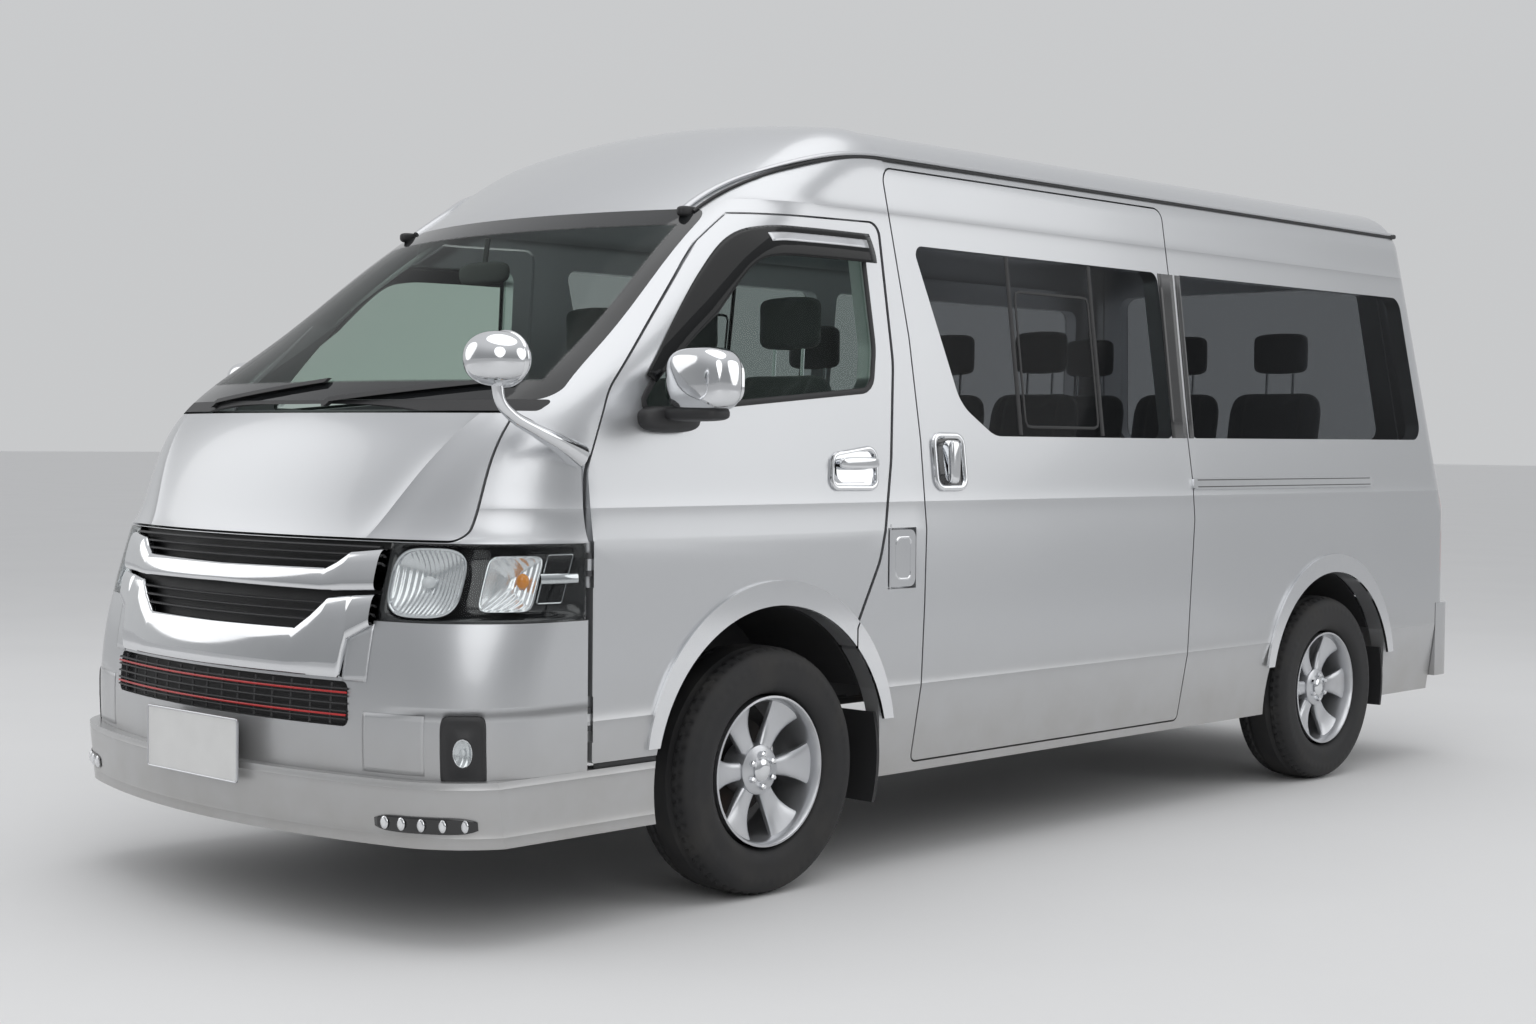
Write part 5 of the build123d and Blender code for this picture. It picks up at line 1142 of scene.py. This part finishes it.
# fuel flap: a raised ring; rail cover on the left: two dark slots
flapLook = {"y": axleFront + 0.545, "z": 0.937, "half": (0.034, 0.062), "corner": 0.018, "face": 0.943}
flapWide, flapTall = flapLook["half"]
flapY, flapZ = sideLine(boxRows(-flapWide, -flapTall, flapWide, flapTall, flapLook["corner"]), 0.0, 0.0, 64).T
flapPath = np.stack([flapLook["face"] + 0 * flapY, flapLook["y"] + flapY, flapLook["z"] + flapZ], -1)
flapRing = swept(flapPath, ellipseLoop(0.004, 0.003, 8), (1, 0, 0), closed=True)
addPiece("flapRing", [flapRing], "fuel_flap", "bright")
railLook = {"from": axleFront + 2.160, "to": axleFront + 3.400, "levels": (1.159, 1.135), "out": 0.0075}
y = np.linspace(railLook["from"], railLook["to"], 30)
railPaths = [onSide(y, level + 0 * y, railLook["out"]) for level in railLook["levels"]]
railSlots = [swept(path, ellipseLoop(0.0035, 0.003, 8), (0, 0, 1)) for path in railPaths]
addPiece("railSlots", railSlots, "body", "gloss")

# corner mirror on the left: a foot that narrows into a bent arm, an oval head and its rim
cornerLook = {
    "spots": np.array([[0.895, -2.150, 1.240], [0.925, -2.235, 1.272], [0.944, -2.330, 1.305],
                       [0.953, -2.405, 1.335], [0.955, -2.450, 1.372], [0.953, -2.462, 1.425]]),
    "thick": np.array([0.036, 0.026, 0.018, 0.015, 0.014, 0.016]),
    "head": (0.952, -2.460, 1.478), "half": (0.086, 0.078, 0.068), "rimShare": 0.96, "rimBack": 0.026,
}
knots = np.arange(len(cornerLook["spots"]), dtype=float)
t = np.linspace(0, knots[-1], 40)
stalk = swept(throughRows(cornerLook["spots"], knots, t), ellipseLoop(1.0, 1.0, 20), (1, 0, 0),
              np.interp(t, knots, cornerLook["thick"]))
headShell = rounded(cornerLook["head"], cornerLook["half"], 0.9, 30, 48)
headX, headY, headZ = cornerLook["head"]
rimX, rimZ = ellipseLoop(cornerLook["half"][0] * cornerLook["rimShare"],
                         cornerLook["half"][2] * cornerLook["rimShare"], 48).T
rimPath = np.stack([headX + rimX, headY + cornerLook["rimBack"] + 0 * rimX, headZ + rimZ], -1)
headRim = swept(rimPath, ellipseLoop(0.006, 0.010, 10), (0, 1, 0), closed=True)
addPiece("cornerMirror", [stalk, headShell, headRim], "body", "bright", ["corner_mirror"])

# mirror inside the windscreen, on a short stem
innerLook = {"head": (0.0, -1.735, 1.775), "half": (0.115, 0.013, 0.034), "stemFrom": (0.0, -1.735, 1.790),
             "stemTo": (0.0, -1.720, 1.880)}
innerHead = rounded(innerLook["head"], innerLook["half"], 0.6, 16, 32)
stemPath = np.linspace(innerLook["stemFrom"], innerLook["stemTo"], 5)
stem = swept(stemPath, ellipseLoop(0.008, 0.008, 10), (1, 0, 0))
addPiece("innerMirror", [innerHead, stem], "body", "plastic")

# dark strip under the door's front, and the grip across the tailgate
sillLook = {"ends": (-2.120, -1.900), "levels": (0.428, 0.448), "out": -0.004}
y, z = np.meshgrid(np.linspace(*sillLook["ends"], 12), np.linspace(*sillLook["levels"], 3))
sills = bothSides([patch(onSide(y, z, sillLook["out"]))])
addPiece("doorStrip", sills, "body", "plastic", closed=False, wall=0.002)
gateLook = {"spot": (0.0, 2.668, 0.945), "half": (0.34, 0.012, 0.026)}
gateGrip = rounded(gateLook["spot"], gateLook["half"], 0.5, 18, 40)
addPiece("gateHandle", [gateGrip], "tailgate", "bright")
print("sides and rear made")

# Seats: y of the cushion's front, height under it, and each seat's edges across
seatRows = {
    "front": ((-1.500, 0.860, ((-0.690, -0.230), (-0.190, 0.230), (0.240, 0.690))),),
    "rear": ((-0.360, 0.850, ((-0.700, -0.250), (-0.240, 0.210))),
             (0.460, 0.850, ((-0.700, -0.250), (-0.240, 0.210))),
             (1.440, 0.870, ((-0.700, -0.250), (-0.225, 0.225), (0.250, 0.700)))),
}
# middle along y and up, half thickness and length, lean, half width as a share of the seat's, most swelling
padRows = {
    "cushion": {"y": 0.212, "z": 0.055, "thick": 0.048, "long": 0.208, "lean": 90.0, "share": 0.97,
                "most": 0.014},
    "back": {"y": 0.533, "z": 0.356, "thick": 0.046, "long": 0.288, "lean": 11.2, "share": 0.97,
             "most": 0.014},
    "headRest": {"y": 0.610, "z": 0.790, "thick": 0.040, "long": 0.080, "lean": 0.0, "share": 0.53,
                 "most": 0.009},
}
padLook = {"voxel": 0.010, "pressure": 4.0, "frames": 20, "half": 0.225,
           "sewnAt": 0.58, "crossAt": -0.1, "sewnWide": 0.040, "sewnDeep": 0.16}
# posts of a head rest: half distance, y and height of foot and top from the cushion's front, radius
postLook = {"apart": 0.06, "foot": (0.600, 0.610), "top": (0.608, 0.750), "radius": 0.006}


# Blown-up pad: its slimmer start is remeshed and filled by Cloth's pressure without gravity, and each
# point's way is capped
def swollen(name, part, most):
    scene = bpy.context.scene
    mesh = bpy.data.meshes.new(name)
    mesh.from_pydata(part[0].tolist(), [], part[1].tolist())
    work = bmesh.new()
    work.from_mesh(mesh)
    bmesh.ops.remove_doubles(work, verts=work.verts, dist=1e-5)
    bmesh.ops.dissolve_degenerate(work, edges=work.edges, dist=1e-6)
    bmesh.ops.recalc_face_normals(work, faces=work.faces)
    work.to_mesh(mesh)
    work.free()
    pad = bpy.data.objects.new(name, mesh)
    scene.collection.objects.link(pad)
    voxels = pad.modifiers.new("voxels", "REMESH")
    voxels.mode, voxels.voxel_size = "VOXEL", padLook["voxel"]
    shaped = bpy.data.meshes.new_from_object(pad.evaluated_get(bpy.context.evaluated_depsgraph_get()))
    pad.modifiers.clear()
    pad.data = shaped
    start = np.empty(len(shaped.vertices) * 3)
    shaped.vertices.foreach_get("co", start)
    cloth = pad.modifiers.new("cloth", "CLOTH")
    cloth.settings.use_pressure = True
    cloth.settings.uniform_pressure_force = padLook["pressure"]
    cloth.settings.effector_weights.gravity = 0.0
    cloth.point_cache.frame_start, cloth.point_cache.frame_end = 1, padLook["frames"]
    for step in range(1, padLook["frames"] + 1):
        scene.frame_set(step)
    blown = pad.evaluated_get(bpy.context.evaluated_depsgraph_get()).data
    end = np.empty(len(start))
    blown.vertices.foreach_get("co", end)
    corners = np.empty(len(shaped.loops), dtype=np.int64)
    shaped.loops.foreach_get("vertex_index", corners)
    start, way = start.reshape(-1, 3), (end - start).reshape(-1, 3)
    far = np.linalg.norm(way, axis=1)[:, None]
    bpy.data.objects.remove(pad)
    scene.frame_set(1)
    return start + way * np.minimum(1, most / np.maximum(far, 1e-9)), corners.reshape(-1, 4)


# Start of a pad, lying flat: a squared ellipsoid, x across, y through its thickness, z along
def padStart(half):
    v = np.linspace(-np.pi / 2, np.pi / 2, 40)[:, None]
    u = np.linspace(-np.pi, np.pi, 72, endpoint=False)[None, :]
    x = bent(np.cos(v), 0.45) * bent(np.cos(u), 0.30)
    z = bent(np.cos(v), 0.45) * bent(np.sin(u), 0.30)
    y = bent(np.sin(v), 0.55) * np.ones_like(u)
    return patch(np.stack([x, y, z], -1) * np.asarray(half), loop=True)


# Sewn channels, as thinner lines: two along the pad and one across between them
def sewn(part, half):
    x, z = part[0][:, 0] / half[0], part[0][:, 2] / half[2]
    lines = np.exp(-((np.abs(x) - padLook["sewnAt"]) / padLook["sewnWide"])**2)
    across = np.exp(-((z - padLook["crossAt"]) / padLook["sewnWide"])**2)
    lines = lines + across * (np.abs(x) < padLook["sewnAt"])
    thin = 1 - padLook["sewnDeep"] * np.clip(lines, 0, 1)
    return part[0] * np.stack([np.ones_like(thin), thin, np.ones_like(thin)], -1), part[1]


padShapes = {}
for name, pad in padRows.items():
    half = (padLook["half"] * pad["share"], pad["thick"], pad["long"])
    start = padStart((half[0], pad["thick"] - 0.8 * pad["most"], pad["long"]))
    filled = swollen(name, start, pad["most"])
    padShapes[name] = filled if name == "headRest" else sewn(filled, half)
    print("pad", name, len(filled[0]), "points, thickest", round(float(np.abs(filled[0][:, 1]).max()), 4))


# A pad leaned about X, widened to its seat and put in its place
def placedPad(name, middle, wide, y, z):
    points, faces = padShapes[name]
    pad = padRows[name]
    c, s = math.cos(math.radians(pad["lean"])), math.sin(math.radians(pad["lean"]))
    x, deep, high = points[:, 0] * wide / padLook["half"], points[:, 1], points[:, 2]
    back, up = y + pad["y"] + deep * c + high * s, z + pad["z"] + high * c - deep * s
    return np.stack([middle + x, back, up], -1), faces


for group, rows in seatRows.items():
    pads, posts = [], []
    for y, z, places in rows:
        for low, high in places:
            middle, wide = (low + high) / 2, (high - low) / 2
            pads += [placedPad(name, middle, wide, y, z) for name in padRows]
            for x in (middle - postLook["apart"], middle + postLook["apart"]):
                foot, top = [(x, y + postLook[end][0], z + postLook[end][1]) for end in ("foot", "top")]
                post = ellipseLoop(postLook["radius"], postLook["radius"], 10)
                posts.append(swept(np.linspace(foot, top, 4), post, (1, 0, 0)))
    stands = ["seats_" + group]
    cushions = addPiece("seatPads_" + group, pads, "body", "cloth", stands, angle=60.0)
    addPiece("headRestPosts_" + group, posts, "body", "bright")
print("seats made")

camera = {"spot": (5.0945, -5.8383, 1.2811), "yaw": 43.635, "pitch": -1.869, "roll": 0.530, "lens": 50.67,
          "sensor": 36.0, "sees": 600.0}
yaw, pitch, roll = [math.radians(camera[key]) for key in ("yaw", "pitch", "roll")]
ahead = np.array([-math.sin(yaw) * math.cos(pitch), math.cos(yaw) * math.cos(pitch), math.sin(pitch)])
right = np.array([math.cos(yaw), math.sin(yaw), 0.0])
up = np.cross(right, ahead)
rightTurned = right * math.cos(roll) + up * math.sin(roll)
upTurned = up * math.cos(roll) - right * math.sin(roll)
lens = bpy.data.cameras.new("camera")
lens.lens, lens.sensor_width, lens.clip_end = camera["lens"], camera["sensor"], camera["sees"]
eye = bpy.data.objects.new("camera", lens)
turn = np.eye(4)
turn[:3, 0], turn[:3, 1], turn[:3, 2], turn[:3, 3] = rightTurned, upTurned, -ahead, camera["spot"]
eye.matrix_world = Matrix(turn.tolist())
bpy.context.scene.collection.objects.link(eye)
bpy.context.scene.camera = eye

studio = {
    "floor": colour(0.74, 0.74, 0.74), "floorDull": colour(0.70, 0.70, 0.70), "floorHalf": 150.0,
    "backdrop": colour(0.74, 0.75, 0.76), "room": colour(0.40, 0.41, 0.42), "high": colour(0.88, 0.89, 0.91),
    "skyLevel": 0.78,
}
floorMesh = bpy.data.meshes.new("studioFloor")
h = studio["floorHalf"]
floorMesh.from_pydata([(-h, -h, 0), (h, -h, 0), (h, h, 0), (-h, h, 0)], [], [(0, 1, 2, 3)])
ground = bpy.data.objects.new("studioFloor", floorMesh)
bpy.context.scene.collection.objects.link(ground)
floorMesh.materials.append(finish("studioFloor", lambda pen: {
    "Base Color": noise(pen, 0.9, 3.0).mix(studio["floor"], studio["floorDull"]), "Roughness": 0.75}))

world = bpy.data.worlds.new("studio")
bpy.context.scene.world = world
world.use_nodes = True
sky = world.node_tree.nodes["Background"]
sky.inputs["Strength"].default_value = studio["skyLevel"]
heaven = Pen(world.node_tree)
x, y, z = split(heaven, heaven.node("ShaderNodeTexCoord", out=0))
# bright backdrop in the direction beyond the van, darker room behind the camera, bright above
beyond = (0.724 * y - 0.690 * x).ease(-0.2, 0.7)
plug(world.node_tree, sky.inputs["Color"],
     z.ease(0.05, 0.80).mix(beyond.mix(studio["room"], studio["backdrop"]), studio["high"]))
# name, place, aim, size, power
lampsAround = (
    ("overhead", (1.0, -1.0, 7.5), (0, 0, 1.0), 9.0, 190.0),
    ("frontLeft", (6.5, -6.5, 4.5), (0.4, -0.8, 1.0), 6.0, 120.0),
    ("leftRear", (7.0, 5.0, 4.0), (0, 1.0, 1.2), 6.0, 100.0),
    ("rightFront", (-6.5, -5.5, 4.0), (0, -1.0, 1.2), 6.0, 80.0),
)
for name, spot, aim, size, power in lampsAround:
    glow = bpy.data.lights.new(name, "AREA")
    glow.shape, glow.size, glow.energy = "DISK", size, power
    lamp = bpy.data.objects.new(name, glow)
    bpy.context.scene.collection.objects.link(lamp)
    lamp.location = spot
    lamp.rotation_mode = "QUATERNION"
    lamp.rotation_quaternion = (Vector(aim) - lamp.location).to_track_quat("-Z", "Y")
bpy.context.scene.view_settings.view_transform = "Standard"
